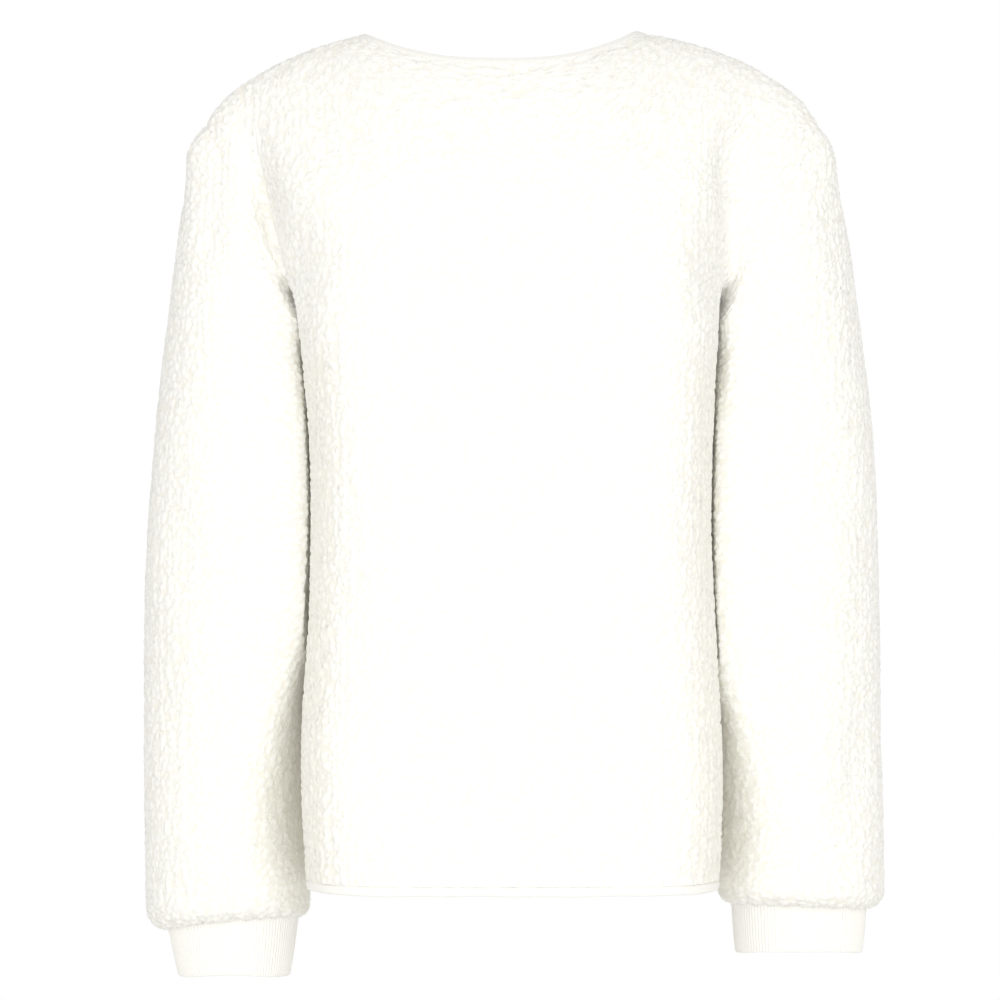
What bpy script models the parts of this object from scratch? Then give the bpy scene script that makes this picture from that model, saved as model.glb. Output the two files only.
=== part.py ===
"""A collarless drop-shoulder cardigan in teddy fleece, filled out as it hangs when it is worn.

+Z is up, the back faces +Y and the wearer's left is +X. The origin is the middle of the shoulder
line, where the garment hangs on its wearer. The tables and sizes below are millimetres, and
`MM` turns them into metres when the meshes are written.

The fleece is cut in five panels: a back, two fronts and two sleeves. Each panel is a grid of
outer points, read from splines through the named lines of its tables, and a wall of constant
thickness behind it. Panels share the curves of their seams, and stand half a seam gap back
from them on each side.
"""

import bpy
import numpy as np

MM = 0.001

# Cloth
FLEECE = 6.0  # the knitted ground with its pile
SEAM_GAP = 0.3  # clear space between two sewn pieces
BAND_WIDTH = 8.5  # the binding, from the fleece to its fold
BAND_THICKNESS = 4.0
BAND_SECTION = ((0.0, 0.0), (0.85, 0.0), (1.0, 0.3), (1.0, 0.7), (0.85, 1.0), (0.0, 1.0))
BAND_DEPTH = 1.0  # the binding's face lies this far below the tips of the pile
CUFF_WALL = 2.6
CUFF_TUCK = 4.5  # how far the cuff runs up inside the sleeve end
RIBS = 108
RIB_HEIGHT = 0.7
CUFF_RINGS = (0.45, 0.94, 1.0)  # the cuff's rings below its hidden top, as shares of its length

# Levels: 0 is the underarm and 1 is the shoulder seam. Below the underarm, a level is a height.
UNDERARM_Z = -200.0
LEVEL_LENGTH = 160.0  # the height of one level below the underarm
HEM_Z = -602.0  # the fleece ends here, and the hem band goes on below it
LOWER_ROWS = 12
YOKE_LEVELS = (0.1, 0.2, 0.3, 0.4, 0.5, 0.58, 0.66, 0.74, 0.82, 0.88, 0.94, 1.0)

# Columns across a half of the back: from the centre to the neck point, and on to the side.
NECK_COLUMNS = 6
SHOULDER_COLUMNS = 13
SHOULDER_KEYS = (0, 4, 7, 9, 11, 13)

# The neck and the front edges
NECK_HALF = 105.0
NECK_SHIFT = 8.0  # the neck sits this far towards the wearer's left
NECK_BACK_DEPTH = 55.0
NECK_MIDDLE_Z = -26.8  # the middle of the back neck
NECK_SWEEP = 2.5
SETTLE_LEVEL = 0.5  # the yoke's rows above this level take up the true line of the top edge
SETTLE_EVENING = 3
NECK_EVENING = 4  # how often the turn of the wall is averaged along the neck edge
FRONT_GAP = 3.0
FRONT_EDGE = 0.5 * FRONT_GAP + BAND_WIDTH + 0.5 * SEAM_GAP
VEE_START = -0.05  # the level where the front edge leaves the upright
VEE_BEND = 1.25
SHOULDER_Y = 5.0  # the shoulder seam lies a little behind the crest of the shoulder
SIDE_Y = -12.0
FOLD_Y = 38.0  # the body is widest here, behind the sleeves

# The sleeve end, rolled in over its cuff
SLANTED_SHARES = (0.0, 0.03, 0.1, 0.22, 0.36, 0.52, 0.68, 0.84, 1.0)
LEVEL_RING_Z = -380.0  # the first ring of the sleeve that is level
SLEEVE_ROLL = 15.5
SLEEVE_RINGS_Z = (-420, -460, -500, -540, -578)
ROLL_ANGLES = (0.0, 28.0, 52.0, 72.0, 90.0)
MOUTH_EASE = 1.0  # keeps the flats between the sleeve's points clear of the ribs
SEAM_REACH = 75.0  # the sleeve takes up its own round form within this length of the armhole
ARMHOLE_INSIDE = (150.0, -12.0, -140.0)  # the armhole's wall turns towards this point
ARMHOLE_EASE = (0.6, 0.25)  # how far the columns next to the armhole turn with it

SIDES = (("left", 1.0), ("right", -1.0))

# Each cloth's colour and roughness
FLEECE_LOOK = ((0.93, 0.915, 0.86, 1.0), 0.95)
RIB_LOOK = ((0.94, 0.93, 0.88, 1.0), 0.85)
BINDING_LOOK = ((0.94, 0.93, 0.88, 1.0), 0.8)
SHARP_ANGLE = 50.0


def table(columns, *rows):
    """Rows of numbers as one array for each named column."""
    return dict(zip(columns.split(), np.array(rows, float).T))


# The body below the underarm, by height: the depth of the back and the fronts at the centre,
# the half width at the widest line of each side, and the side seam.
BODY = table(
    "z back front fold_left fold_right side",
    (-602, 96.0, -90.0, 147.0, 147.5, 136.5),
    (-550, 98.5, -93.0, 150.5, 150.0, 137.5),
    (-480, 100.0, -96.0, 149.0, 148.0, 138.0),
    (-410, 101.5, -99.0, 145.5, 144.0, 137.5),
    (-340, 103.0, -102.0, 143.5, 142.0, 137.5),
    (-280, 104.5, -105.0, 145.5, 143.5, 138.5),
    (-235, 105.5, -107.0, 149.5, 145.5, 139.5),
    (-200, 106.0, -107.0, 153.5, 147.0, 141.5),
)

# The level section of the body: each key line as a share of the half width and of the depth.
# The back's depth runs from the widest line to the centre back, and the front's from the side.
SECTION = table(
    "back_width back_depth front_width front_depth",
    (0.56, 0.965, 0.00, 1.000),
    (0.83, 0.780, 0.50, 0.975),
    (0.965, 0.380, 0.80, 0.780),
    (1.00, 0.000, 0.90, 0.570),
    (0.965, -0.420, 0.97, 0.300),
    (0.00, 0.000, 1.00, 0.000),
)

# The yoke, above the underarm: the same key lines at three levels.
YOKE_BACK_LEFT_X = table(
    "level neck blade fold valley crest",
    (0.25, 86.0, 131.0, 157.0, 160.5, 159.5),
    (0.50, 90.0, 139.0, 165.5, 172.0, 179.0),
    (0.75, 98.0, 148.0, 174.0, 184.5, 195.0),
)
YOKE_BACK_LEFT_Y = table(
    "level centre neck blade fold valley crest",
    (0.25, 104.0, 100.0, 84.0, 47.0, 26.0, 14.0),
    (0.50, 98.5, 94.0, 79.0, 48.0, 22.0, 29.0),
    (0.75, 84.0, 73.0, 60.0, 44.0, 33.0, 34.0),
)
YOKE_BACK_RIGHT_X = table(
    "level neck blade fold valley crest",
    (0.25, 83.0, 125.0, 147.0, 150.5, 152.0),
    (0.50, 83.0, 126.0, 146.0, 154.5, 166.5),
    (0.75, 86.0, 129.0, 146.5, 157.5, 179.0),
)
YOKE_BACK_RIGHT_Y = table(
    "level centre neck blade fold valley crest",
    (0.25, 104.0, 100.0, 85.0, 48.0, 27.0, 14.0),
    (0.50, 98.5, 94.0, 81.0, 56.0, 34.0, 31.0),
    (0.75, 84.0, 74.0, 66.0, 57.0, 46.0, 41.0),
)
YOKE_FRONT_X = table(
    "level edge chest fold valley crest",
    (0.25, 30.0, 80.0, 118.0, 136.0, 146.0),
    (0.50, 56.0, 98.0, 130.0, 150.0, 165.0),
    (0.75, 84.0, 122.0, 150.0, 170.0, 186.0),
)
YOKE_FRONT_Y = table(
    "level edge chest fold valley crest",
    (0.25, -101.0, -97.0, -80.0, -62.0, -46.0),
    (0.50, -82.0, -82.0, -73.0, -61.0, -58.0),
    (0.75, -50.0, -55.0, -55.0, -52.0, -50.0),
)
# Heights of the yoke's levels at the centre back and the front edge, and how far the centre
# back has moved towards the shifted neck. The armhole's own heights hold at the other end, and
# the key lines between them take a share of the fall.
YOKE_HEIGHTS = table(
    "level back_centre front_edge centre_x",
    (0.25, -158.0, -153.0, 0.8),
    (0.50, -115.0, -106.0, 2.4),
    (0.75, -70.0, -57.0, 4.8),
)
BACK_FALL = (0.05, 0.2, 0.4, 0.72, 0.88)
FRONT_FALL = (0.0, 0.35, 0.6, 0.75, 0.88)

# The armhole, once round: up the back from the underarm, over the shoulder, down the front.
# `turn` is the direction of each point round the sleeve, in degrees from its outer line.
ARMHOLE = table(
    "step x_left x_right y z turn",
    (0.00, 141.5, 141.5, -12.0, -200.0, 180.0),
    (0.25, 156.5, 152.5, 7.0, -184.0, 137.0),
    (0.50, 186.0, 177.0, 35.0, -143.0, 97.0),
    (0.75, 205.0, 203.0, 31.0, -98.0, 60.0),
    (1.00, 220.0, 220.0, 5.0, -65.0, 12.0),
    (1.25, 206.0, 206.0, -42.0, -98.0, -50.0),
    (1.50, 181.0, 181.0, -64.0, -143.0, -97.0),
    (1.75, 151.0, 151.0, -38.0, -184.0, -140.0),
)

# The crest of the shoulder, from the neck out to the sleeve.
SHOULDER = table(
    "x z",
    (95, 2.0),
    (113, -1.2),
    (128, -4.8),
    (143, -9.2),
    (157, -14.8),
    (168, -19.8),
    (178, -25.5),
    (189, -32.0),
    (198, -38.2),
    (205, -44.2),
    (211, -50.6),
    (216, -57.6),
    (220, -65.0),
)

# The sleeve's level section by height: its outer and inner sides, its centre and half depth.
# `press` is how far the body flattens the back of the inner side, where the two lie together.
ARM = table(
    "z outer_left outer_right inner_left inner_right y depth press_left press_right",
    (-65, 221.0, 221.0, 160.0, 160.0, -6.0, 30.0, 0.0, 0.0),
    (-76, 231.0, 229.5, 158.0, 158.0, -8.0, 38.0, 0.0, 0.0),
    (-100, 236.0, 235.5, 156.0, 156.0, -11.0, 46.0, 0.0, 0.0),
    (-140, 241.5, 243.0, 151.0, 151.0, -15.0, 53.0, 0.0, 0.0),
    (-180, 246.5, 249.5, 146.5, 146.5, -17.5, 56.0, 0.0, 0.0),
    (-230, 253.0, 256.0, 146.5, 146.5, -19.5, 58.0, 0.0, 0.0),
    (-280, 258.5, 261.0, 145.0, 144.0, -21.0, 60.0, 0.0, 0.0),
    (-330, 262.5, 265.0, 143.0, 142.5, -22.0, 61.0, 0.0, 0.0),
    (-400, 266.5, 267.5, 141.5, 141.5, -23.5, 61.5, 0.5, 0.0),
    (-450, 267.5, 268.5, 143.5, 142.0, -24.5, 61.0, 3.5, 0.5),
    (-500, 267.8, 269.0, 147.0, 144.5, -25.3, 60.5, 8.0, 3.5),
    (-550, 267.8, 269.7, 149.0, 146.5, -26.2, 59.5, 9.0, 6.0),
    (-595, 267.5, 270.8, 148.0, 147.5, -27.0, 58.5, 5.0, 4.0),
    (-640, 267.0, 272.0, 146.0, 148.5, -27.5, 57.0, 0.0, 0.0),
)

# Each cuff: the end of its sleeve, how far that end drops towards the outer side and rises
# towards the back, then the centre and half width of the cuff's top and bottom.
CUFF = table(
    "sleeve_end drop rise centre_top half_top bottom centre_bottom half_bottom",
    (-642.5, 5.0, 5.0, 202.3, 47.3, -676.0, 201.9, 40.8),
    (-629.0, 2.0, 3.0, 208.5, 49.3, -658.8, 208.5, 46.4),
)
CUFF_Y = -27.5
CUFF_DEPTH_TOP = 38.0
CUFF_DEPTH_BOTTOM = 34.0

# Soft troughs and ridges: both ends of each line, how wide it is, and how far it moves the cloth.
FOLDS = table(
    "x1 y1 z1 x2 y2 z2 width push",
    (216, 34, -100, 219, 34, -175, 15, -4.0),
    (196, 42, -120, 199, 44, -190, 15, 2.0),
    (250, 20, -300, 225, 36, -420, 22, -3.0),
    (-240, 20, -100, -228, 30, -170, 16, -3.0),
    (-262, 8, -470, -236, 32, -590, 22, -4.0),
    (-232, 36, -300, -214, 40, -400, 20, -2.5),
    (232, -70, -260, 214, -84, -380, 20, -3.5),
    (-230, -70, -300, -216, -84, -430, 20, -3.5),
    (60, -95, -330, 30, -92, -560, 26, 3.0),
    (-64, -95, -300, -34, -92, -540, 26, 3.0),
    (112, 80, -330, 90, 92, -560, 26, -3.0),
    (-118, 78, -380, -96, 90, -570, 26, -3.0),
)


def spline(knots, values, at):
    """A natural cubic spline through `values`, whose first axis follows the knots, read at `at`."""
    knots = np.asarray(knots, float)
    values = np.asarray(values, float)
    at = np.asarray(at, float)
    step = np.diff(knots)
    flat = values.reshape(len(knots), -1)
    slope = np.diff(flat, axis=0) / step[:, None]
    matrix = np.eye(len(knots))
    right = np.zeros_like(flat)
    for i in range(1, len(knots) - 1):
        matrix[i, i - 1 : i + 2] = (step[i - 1], 2 * (step[i - 1] + step[i]), step[i])
        right[i] = 6 * (slope[i] - slope[i - 1])
    bend = np.linalg.solve(matrix, right)
    k = np.clip(np.searchsorted(knots, at, side="right") - 1, 0, len(knots) - 2)
    b = ((at - knots[k]) / step[k])[:, None]
    a = 1 - b
    curve = a * flat[k] + b * flat[k + 1]
    curve += ((a**3 - a) * bend[k] + (b**3 - b) * bend[k + 1]) * step[k][:, None] ** 2 / 6
    return curve.reshape((len(at),) + values.shape[1:])


def read(rows, name, z):
    """One column of a table that goes down by height or up by level, read at `z`."""
    key = next(iter(rows))
    order = np.argsort(rows[key])
    return spline(rows[key][order], rows[name][order], np.atleast_1d(z))


def unit(vectors):
    return vectors / np.maximum(np.linalg.norm(vectors, axis=-1, keepdims=True), 1e-12)


def evenly(points, count):
    """`count` points spaced evenly along a dense polyline, both ends kept."""
    run = np.r_[0, np.cumsum(np.linalg.norm(np.diff(points, axis=0), axis=1))]
    at = np.linspace(0, run[-1], count)
    return np.stack([np.interp(at, run, points[:, k]) for k in range(3)], axis=1)


def smooth(x):
    x = np.clip(x, 0, 1)
    return x * x * (3 - 2 * x)


# Curves that the pieces share


def levels():
    """The levels of the panels' rows, from the hem to the shoulder seam."""
    hem = (HEM_Z - UNDERARM_Z) / LEVEL_LENGTH
    lower = np.linspace(hem, 0, LOWER_ROWS + 1)
    return np.r_[lower, YOKE_LEVELS]


def armhole(side, steps):
    """The armhole curve, closed: its table is wrapped round so that it has no ends."""
    x = ARMHOLE["x_" + side]
    points = np.stack([x, ARMHOLE["y"], ARMHOLE["z"]], axis=1)
    step = ARMHOLE["step"]
    knots = np.r_[step[-3:] - 2, step, step[:4] + 2]
    return spline(knots, np.vstack([points[-3:], points, points[:4]]), steps)


def armhole_turn(steps):
    """The direction round the sleeve, in degrees, for each step round the armhole."""
    step = np.r_[ARMHOLE["step"], 2.0]
    return spline(step, np.r_[ARMHOLE["turn"], -180.0], steps)


def side_seam(z):
    x = read(BODY, "side", z)
    return np.stack([x, np.full_like(x, SIDE_Y), z], axis=1)


def shoulder_seam(sign):
    """From the neck point to the shoulder point, spaced evenly, with x counted outwards."""
    x = np.linspace(NECK_HALF + sign * NECK_SHIFT, SHOULDER["x"][-1], 200)
    z = spline(SHOULDER["x"], SHOULDER["z"], x)
    y = np.full_like(x, SHOULDER_Y)
    return evenly(np.stack([x, y, z], axis=1), SHOULDER_COLUMNS + 1)


def back_neck(columns):
    """The back neck edge: an ellipse seen from above, swept up towards the neck points."""
    angle = 0.5 * np.pi * np.asarray(columns) / NECK_COLUMNS
    side = np.sin(angle)
    sign = np.where(side < 0, -1.0, 1.0)
    end_z = spline(SHOULDER["x"], SHOULDER["z"], NECK_HALF + sign * NECK_SHIFT)
    x = NECK_SHIFT + NECK_HALF * side
    y = SHOULDER_Y + NECK_BACK_DEPTH * np.cos(angle)
    z = NECK_MIDDLE_Z + (end_z - NECK_MIDDLE_Z) * np.abs(side) ** NECK_SWEEP
    return np.stack([x, y, z], axis=1)


def front_edge_x(level, sign):
    """The front edge is upright up to the vee, then leans out to the neck point."""
    rise = np.clip((level - VEE_START) / (1 - VEE_START), 0, 1)
    return FRONT_EDGE + (NECK_HALF + sign * NECK_SHIFT - FRONT_EDGE) * rise**VEE_BEND


# Panels


def key_lines(side, sign, half):
    """The key lines of one half, as levels and (level, line, 3) points, with x counted outwards.

    Below the underarm they are shares of the level section, and above it the yoke's tables. The
    lines go on over the shoulder seam into the other half, so both halves meet in one curve.
    """
    body_z = BODY["z"]
    fold = BODY["fold_" + side]
    seam_x = BODY["side"]
    z = body_z[:, None] + np.zeros(6)
    if half == "back":
        x = SECTION["back_width"] * fold[:, None]
        y = FOLD_Y + SECTION["back_depth"] * (BODY["back"][:, None] - FOLD_Y)
        yoke_x = YOKE_BACK_LEFT_X if side == "left" else YOKE_BACK_RIGHT_X
        yoke_y = YOKE_BACK_LEFT_Y if side == "left" else YOKE_BACK_RIGHT_Y
        names = "neck blade fold valley crest".split()
        start_z, fall = YOKE_HEIGHTS["back_centre"], BACK_FALL
        steps = YOKE_HEIGHTS["level"]
    else:
        x = FRONT_EDGE + SECTION["front_width"] * (seam_x[:, None] - FRONT_EDGE)
        y = SIDE_Y + SECTION["front_depth"] * (BODY["front"][:, None] - SIDE_Y)
        yoke_x, yoke_y = YOKE_FRONT_X, YOKE_FRONT_Y
        names = "edge chest fold valley crest".split()
        start_z, fall = YOKE_HEIGHTS["front_edge"], FRONT_FALL
        steps = 2 - YOKE_HEIGHTS["level"]
    x[:, -1] = seam_x
    y[:, -1] = SIDE_Y
    lower = np.stack([x, y, z], axis=2)
    seam = armhole(side, steps)
    yoke = np.empty((3, 6, 3))
    for k, name in enumerate(names):
        yoke[:, k, 0] = yoke_x[name]
        yoke[:, k, 1] = yoke_y[name]
        yoke[:, k, 2] = start_z + fall[k] * (seam[:, 2] - start_z)
    yoke[:, 5] = seam
    if half == "front":
        yoke[:, 0, 0] = front_edge_x(YOKE_HEIGHTS["level"], sign)
    level = np.r_[(body_z - UNDERARM_Z) / LEVEL_LENGTH, YOKE_HEIGHTS["level"]]
    return level, np.vstack([lower, yoke])


def lengthwise(side, sign, half, rows):
    """The key lines of one half read at the panel's rows, with its seams put in exactly."""
    level, own = key_lines(side, sign, half)
    other_level, other = key_lines(side, sign, "front" if half == "back" else "back")
    over = other_level > 0
    top = shoulder_seam(sign)[list(SHOULDER_KEYS)]
    knots = np.r_[level, 1.0, 2 - other_level[over][::-1]]
    points = np.concatenate([own, top[None], other[over][::-1]])
    lines = spline(knots, points, rows)
    below = rows < 0
    lines[below, 5] = side_seam(UNDERARM_Z + LEVEL_LENGTH * rows[below])
    steps = rows if half == "back" else 2 - rows
    lines[~below, 5] = armhole(side, steps[~below])
    if half == "front":
        lines[:, 0, 0] = front_edge_x(rows, sign)
    return lines


def settle_top(grid, top, rows):
    """Moves a grid's last row onto its true edge, and the rows below it by less and more evenly."""
    settled = grid.copy()
    off = top - grid[-1]
    for k in range(1, len(rows) + 1):
        share = smooth((rows[-k] - SETTLE_LEVEL) / (1 - SETTLE_LEVEL))
        settled[-k] += share * off
        for _ in range(SETTLE_EVENING):
            off[1:-1] = 0.25 * off[:-2] + 0.5 * off[1:-1] + 0.25 * off[2:]
    return settled


def back_panel(rows):
    """The back as one grid, from the right side seam to the left one."""
    halves = {side: lengthwise(side, sign, "back", rows) for side, sign in SIDES}
    left = halves["left"]
    right = halves["right"][:, ::-1] * (-1, 1, 1)
    level = np.r_[(BODY["z"] - UNDERARM_Z) / LEVEL_LENGTH, YOKE_HEIGHTS["level"], 1.0]
    middle = back_neck([0])[0]
    centre_x = np.r_[np.zeros(len(BODY["z"])), YOKE_HEIGHTS["centre_x"], middle[0]]
    centre_y = np.r_[BODY["back"], YOKE_BACK_LEFT_Y["centre"], middle[1]]
    centre_z = np.r_[BODY["z"], YOKE_HEIGHTS["back_centre"], middle[2]]
    centre = spline(level, np.stack([centre_x, centre_y, centre_z], axis=1), rows)
    keys = np.concatenate([right, centre[:, None], left], axis=1)
    half = [NECK_COLUMNS + key for key in SHOULDER_KEYS]
    knots = [-key for key in half[::-1]] + [0] + half
    columns = np.arange(-half[-1], half[-1] + 1)
    grid = spline(knots, keys.swapaxes(0, 1), columns).swapaxes(0, 1)
    neck = back_neck(np.arange(-NECK_COLUMNS, NECK_COLUMNS + 1))
    shoulders = [shoulder_seam(sign)[1:] * (sign, 1, 1) for _, sign in SIDES]
    top = np.vstack([shoulders[1][::-1], neck, shoulders[0]])
    return settle_top(grid, top, rows)


def front_panel(side, sign, rows):
    """A front as one grid, from its front edge to its side seam."""
    lines = lengthwise(side, sign, "front", rows)
    columns = np.arange(SHOULDER_COLUMNS + 1)
    grid = spline(SHOULDER_KEYS, lines.swapaxes(0, 1), columns).swapaxes(0, 1)
    grid = settle_top(grid, shoulder_seam(sign), rows)
    return grid * (sign, 1, 1)


def arm_point(side, turn, z):
    """A point of the sleeve's own form at height `z`: an ellipse, read at angle `turn`.

    Its inner side is pressed: moved away from the body towards the back, and in towards the front.
    """
    names = ("outer_" + side, "inner_" + side, "y", "depth", "press_" + side)
    sizes = [read(ARM, name, z.ravel()).reshape(z.shape) for name in names]
    outer, inner, centre_y, depth, press = sizes
    angle = np.radians(turn)
    x = 0.5 * (outer + inner) + 0.5 * (outer - inner) * np.cos(angle)
    x = x - press * np.sin(2 * angle) * (0.5 - 0.5 * np.cos(angle)) ** 2
    return np.stack([x, centre_y + depth * np.sin(angle), z], axis=-1)


def sleeve_steps(rows):
    """Steps once round the armhole, up the back and down the front, as the panels' rows have them."""
    yoke = rows[rows >= 0]
    return np.r_[yoke, 2 - yoke[::-1][1:-1]]


def sleeve_panel(side, sign, rows):
    """A sleeve as rings: slanted from the armhole, then level, then rolled in over the cuff."""
    steps = sleeve_steps(rows)
    seam = armhole(side, steps)
    turn = armhole_turn(steps)
    share = np.array(SLANTED_SHARES)[:, None]
    slanted = seam[:, 2] * (1 - share) + LEVEL_RING_Z * share
    z = np.vstack([slanted, np.repeat(np.array(SLEEVE_RINGS_Z, float)[:, None], len(turn), axis=1)])
    body = arm_point(side, turn, z)
    start = arm_point(side, turn, seam[None, :, 2])[0]
    hold = smooth(1 - (seam[:, 2] - z) / SEAM_REACH)
    body = body + hold[:, :, None] * (seam - start)

    cuff = cuff_row(sign)
    roll = np.radians(ROLL_ANGLES)[:, None]
    roll_z = cuff["sleeve_end"] + SLEEVE_ROLL * (1 - np.sin(roll)) + np.zeros(len(turn))
    wide = arm_point(side, turn, roll_z)
    mouth = cuff_ring(sign, turn, 0.0, -MOUTH_EASE)
    mix = np.cos(roll)[:, :, None]
    rolled = mouth + (wide - mouth) * mix
    rolled[:, :, 2] = roll_z + lean(cuff, turn)
    grid = np.concatenate([body, rolled])
    return grid * (sign, 1, 1)


# Cuffs


def cuff_row(sign):
    """The left or right row of the cuffs' table, by name."""
    return {name: CUFF[name][0 if sign > 0 else 1] for name in CUFF}


def lean(cuff, turn):
    """How far the end of a sleeve leaves its level, round the cuff."""
    return cuff["rise"] * np.sin(np.radians(turn)) - cuff["drop"] * np.cos(np.radians(turn))


def cuff_ring(sign, turn, share, inset):
    """A level ring of a cuff, `share` of the way down, with x counted outwards."""
    cuff = cuff_row(sign)
    angle = np.radians(turn)
    centre = cuff["centre_top"] + share * (cuff["centre_bottom"] - cuff["centre_top"])
    half = cuff["half_top"] + share * (cuff["half_bottom"] - cuff["half_top"])
    depth = CUFF_DEPTH_TOP + share * (CUFF_DEPTH_BOTTOM - CUFF_DEPTH_TOP)
    x = centre + (half - inset) * np.cos(angle)
    y = CUFF_Y + (depth - inset) * np.sin(angle)
    z = cuff["sleeve_end"] + share * (cuff["bottom"] - cuff["sleeve_end"])
    return np.stack([x, y, z + (1 - share) * lean(cuff, turn)], axis=-1)


def build_cuff(side, sign):
    """A tube with ribs raised in its outer points over a plain inside."""
    cuff = cuff_row(sign)
    top = -CUFF_TUCK / (cuff["sleeve_end"] - cuff["bottom"])
    shares = (top, *CUFF_RINGS)
    wide = 2 * RIBS
    fold = 3  # outer points for each inner one
    narrow = wide // fold
    outer_turn = np.arange(wide) * 360.0 / wide
    inner_turn = np.arange(narrow) * 360.0 / narrow
    ridge = RIB_HEIGHT * (np.arange(wide) % 2)
    outer = [cuff_ring(sign, outer_turn, share, SEAM_GAP + ridge) for share in shares[:-1]]
    outer.append(cuff_ring(sign, outer_turn, shares[-1], SEAM_GAP + 0.5 * RIB_HEIGHT))
    inner = [cuff_ring(sign, inner_turn, share, SEAM_GAP + CUFF_WALL) for share in shares]
    points = np.vstack(outer + inner) * (sign, 1, 1)
    first_inner = len(outer) * wide
    faces = rings_to_faces(0, len(outer), wide, inwards=False)
    faces += rings_to_faces(first_inner, len(inner), narrow, inwards=True)
    last_inner = first_inner + (len(inner) - 1) * narrow
    for base, outer_start, up in ((first_inner, 0, True), (last_inner, first_inner - wide, False)):
        for j in range(narrow):
            fan = [outer_start + (fold * j + k) % wide for k in range(fold + 1)]
            face = fan + [base + (j + 1) % narrow, base + j]
            faces.append(face if up else face[::-1])
    if sign < 0:
        faces = [face[::-1] for face in faces]
    make_object("cuff_" + side, points, faces, RIB_LOOK)


def rings_to_faces(start, rings, around, inwards):
    """Quads between rings of points that go down, facing away from the tube's middle or into it."""
    faces = []
    for i in range(rings - 1):
        for j in range(around):
            a = start + i * around + j
            b = start + i * around + (j + 1) % around
            face = [a, a + around, b + around, b]
            faces.append(face[::-1] if inwards else face)
    return faces


# Walls


def grid_normals(grid, closed):
    """Unit normals of a grid, from its rows crossed with its columns."""
    along = np.gradient(grid, axis=0)
    if closed:
        across = np.roll(grid, -1, axis=1) - np.roll(grid, 1, axis=1)
    else:
        across = np.gradient(grid, axis=1)
    return unit(np.cross(across, along))


def raise_folds(grid, normal):
    """Moves the cloth along its normal near each fold line, by a bell across it, faded at its ends."""
    moved = grid.copy()
    for row in zip(*FOLDS.values()):
        start, end = np.array(row[0:3]), np.array(row[3:6])
        width, push = row[6:]
        line = end - start
        length = np.linalg.norm(line)
        along = (grid - start) @ line / length**2
        nearest = start + np.clip(along, 0, 1)[..., None] * line
        off = np.linalg.norm(grid - nearest, axis=-1)
        fade = np.sin(np.pi * np.clip(along, 0, 1))
        moved += (push * np.exp(-((off / width) ** 2)) * fade)[..., None] * normal
    return moved


def edge_pull(edge, neighbours, inward, closed=False):
    """Half a seam gap into the panel from each point of an edge, square to the edge and its wall."""
    if closed:
        tangent = np.roll(edge, -1, axis=0) - np.roll(edge, 1, axis=0)
    else:
        tangent = np.gradient(edge, axis=0)
    way = unit(np.cross(unit(tangent), inward))
    side = np.sign(np.sum(way * (neighbours - edge)))
    return 0.5 * SEAM_GAP * side * way


def build_panel(name, grid, inward, corners):
    """A closed wall: the outer grid, the same grid moved inwards, and a strip round its edge.

    At each underarm corner three pieces meet, and `corners` gives this one's own way out of it.
    """
    shift = np.zeros_like(grid)
    shift[0] += edge_pull(grid[0], grid[1], inward[0])
    shift[-1] += edge_pull(grid[-1], grid[-2], inward[-1])
    shift[:, 0] += edge_pull(grid[:, 0], grid[:, 1], inward[:, 0])
    shift[:, -1] += edge_pull(grid[:, -1], grid[:, -2], inward[:, -1])
    for place, way in corners:
        shift[place] = 0.5 * SEAM_GAP * np.array(way)
    outer = grid + shift
    inner = outer + FLEECE * inward
    rows, columns = grid.shape[:2]
    size = rows * columns
    points = np.vstack([outer.reshape(-1, 3), inner.reshape(-1, 3)])
    index = np.arange(size).reshape(rows, columns)
    faces = []
    for i in range(rows - 1):
        for j in range(columns - 1):
            quad = [index[i, j], index[i, j + 1], index[i + 1, j + 1], index[i + 1, j]]
            faces.append(quad)
            faces.append([q + size for q in quad[::-1]])
    rim = np.r_[index[0, :-1], index[:-1, -1], index[-1, :0:-1], index[:0:-1, 0]]
    for a, b in zip(rim, np.roll(rim, -1)):
        faces.append([b, a, a + size, b + size])
    make_object(name, points, faces, FLEECE_LOOK)


def build_sleeve(name, grid, inward, sign):
    """A closed wall like a panel's, but a tube, open at the armhole and the cuff."""
    outer = grid.copy()
    outer[0] += edge_pull(grid[0], grid[1], inward[0], closed=True)
    outer[0, 0] = grid[0, 0] + 0.5 * SEAM_GAP * np.array((sign, 0, 0))
    inner = outer + FLEECE * inward
    rings, around = grid.shape[:2]
    size = rings * around
    points = np.vstack([outer.reshape(-1, 3), inner.reshape(-1, 3)])
    faces = rings_to_faces(0, rings, around, inwards=True)
    faces += rings_to_faces(size, rings, around, inwards=False)
    for j in range(around):
        k = (j + 1) % around
        faces.append([k, j, size + j, size + k])
        last = (rings - 1) * around
        faces.append([last + j, last + k, size + last + k, size + last + j])
    if sign < 0:
        faces = [face[::-1] for face in faces]
    make_object(name, points, faces, FLEECE_LOOK)


def sweep(name, path, outwards, inward, look):
    """The binding's section carried along a path, with both ends closed.

    The section's points are shares of the binding's width and thickness.
    """
    rings = []
    for reach, depth in BAND_SECTION:
        reach = 0.5 * SEAM_GAP + BAND_WIDTH * reach
        depth = BAND_DEPTH + BAND_THICKNESS * depth
        rings.append(path + reach * outwards + depth * inward)
    points = np.stack(rings, axis=1).reshape(-1, 3)
    corners = len(BAND_SECTION)
    faces = rings_to_faces(0, len(path), corners, inwards=False)
    faces.append(list(range(corners)))
    last = (len(path) - 1) * corners
    faces.append([last + k for k in reversed(range(corners))])
    make_object(name, points, faces, look)


# Materials and objects


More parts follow.
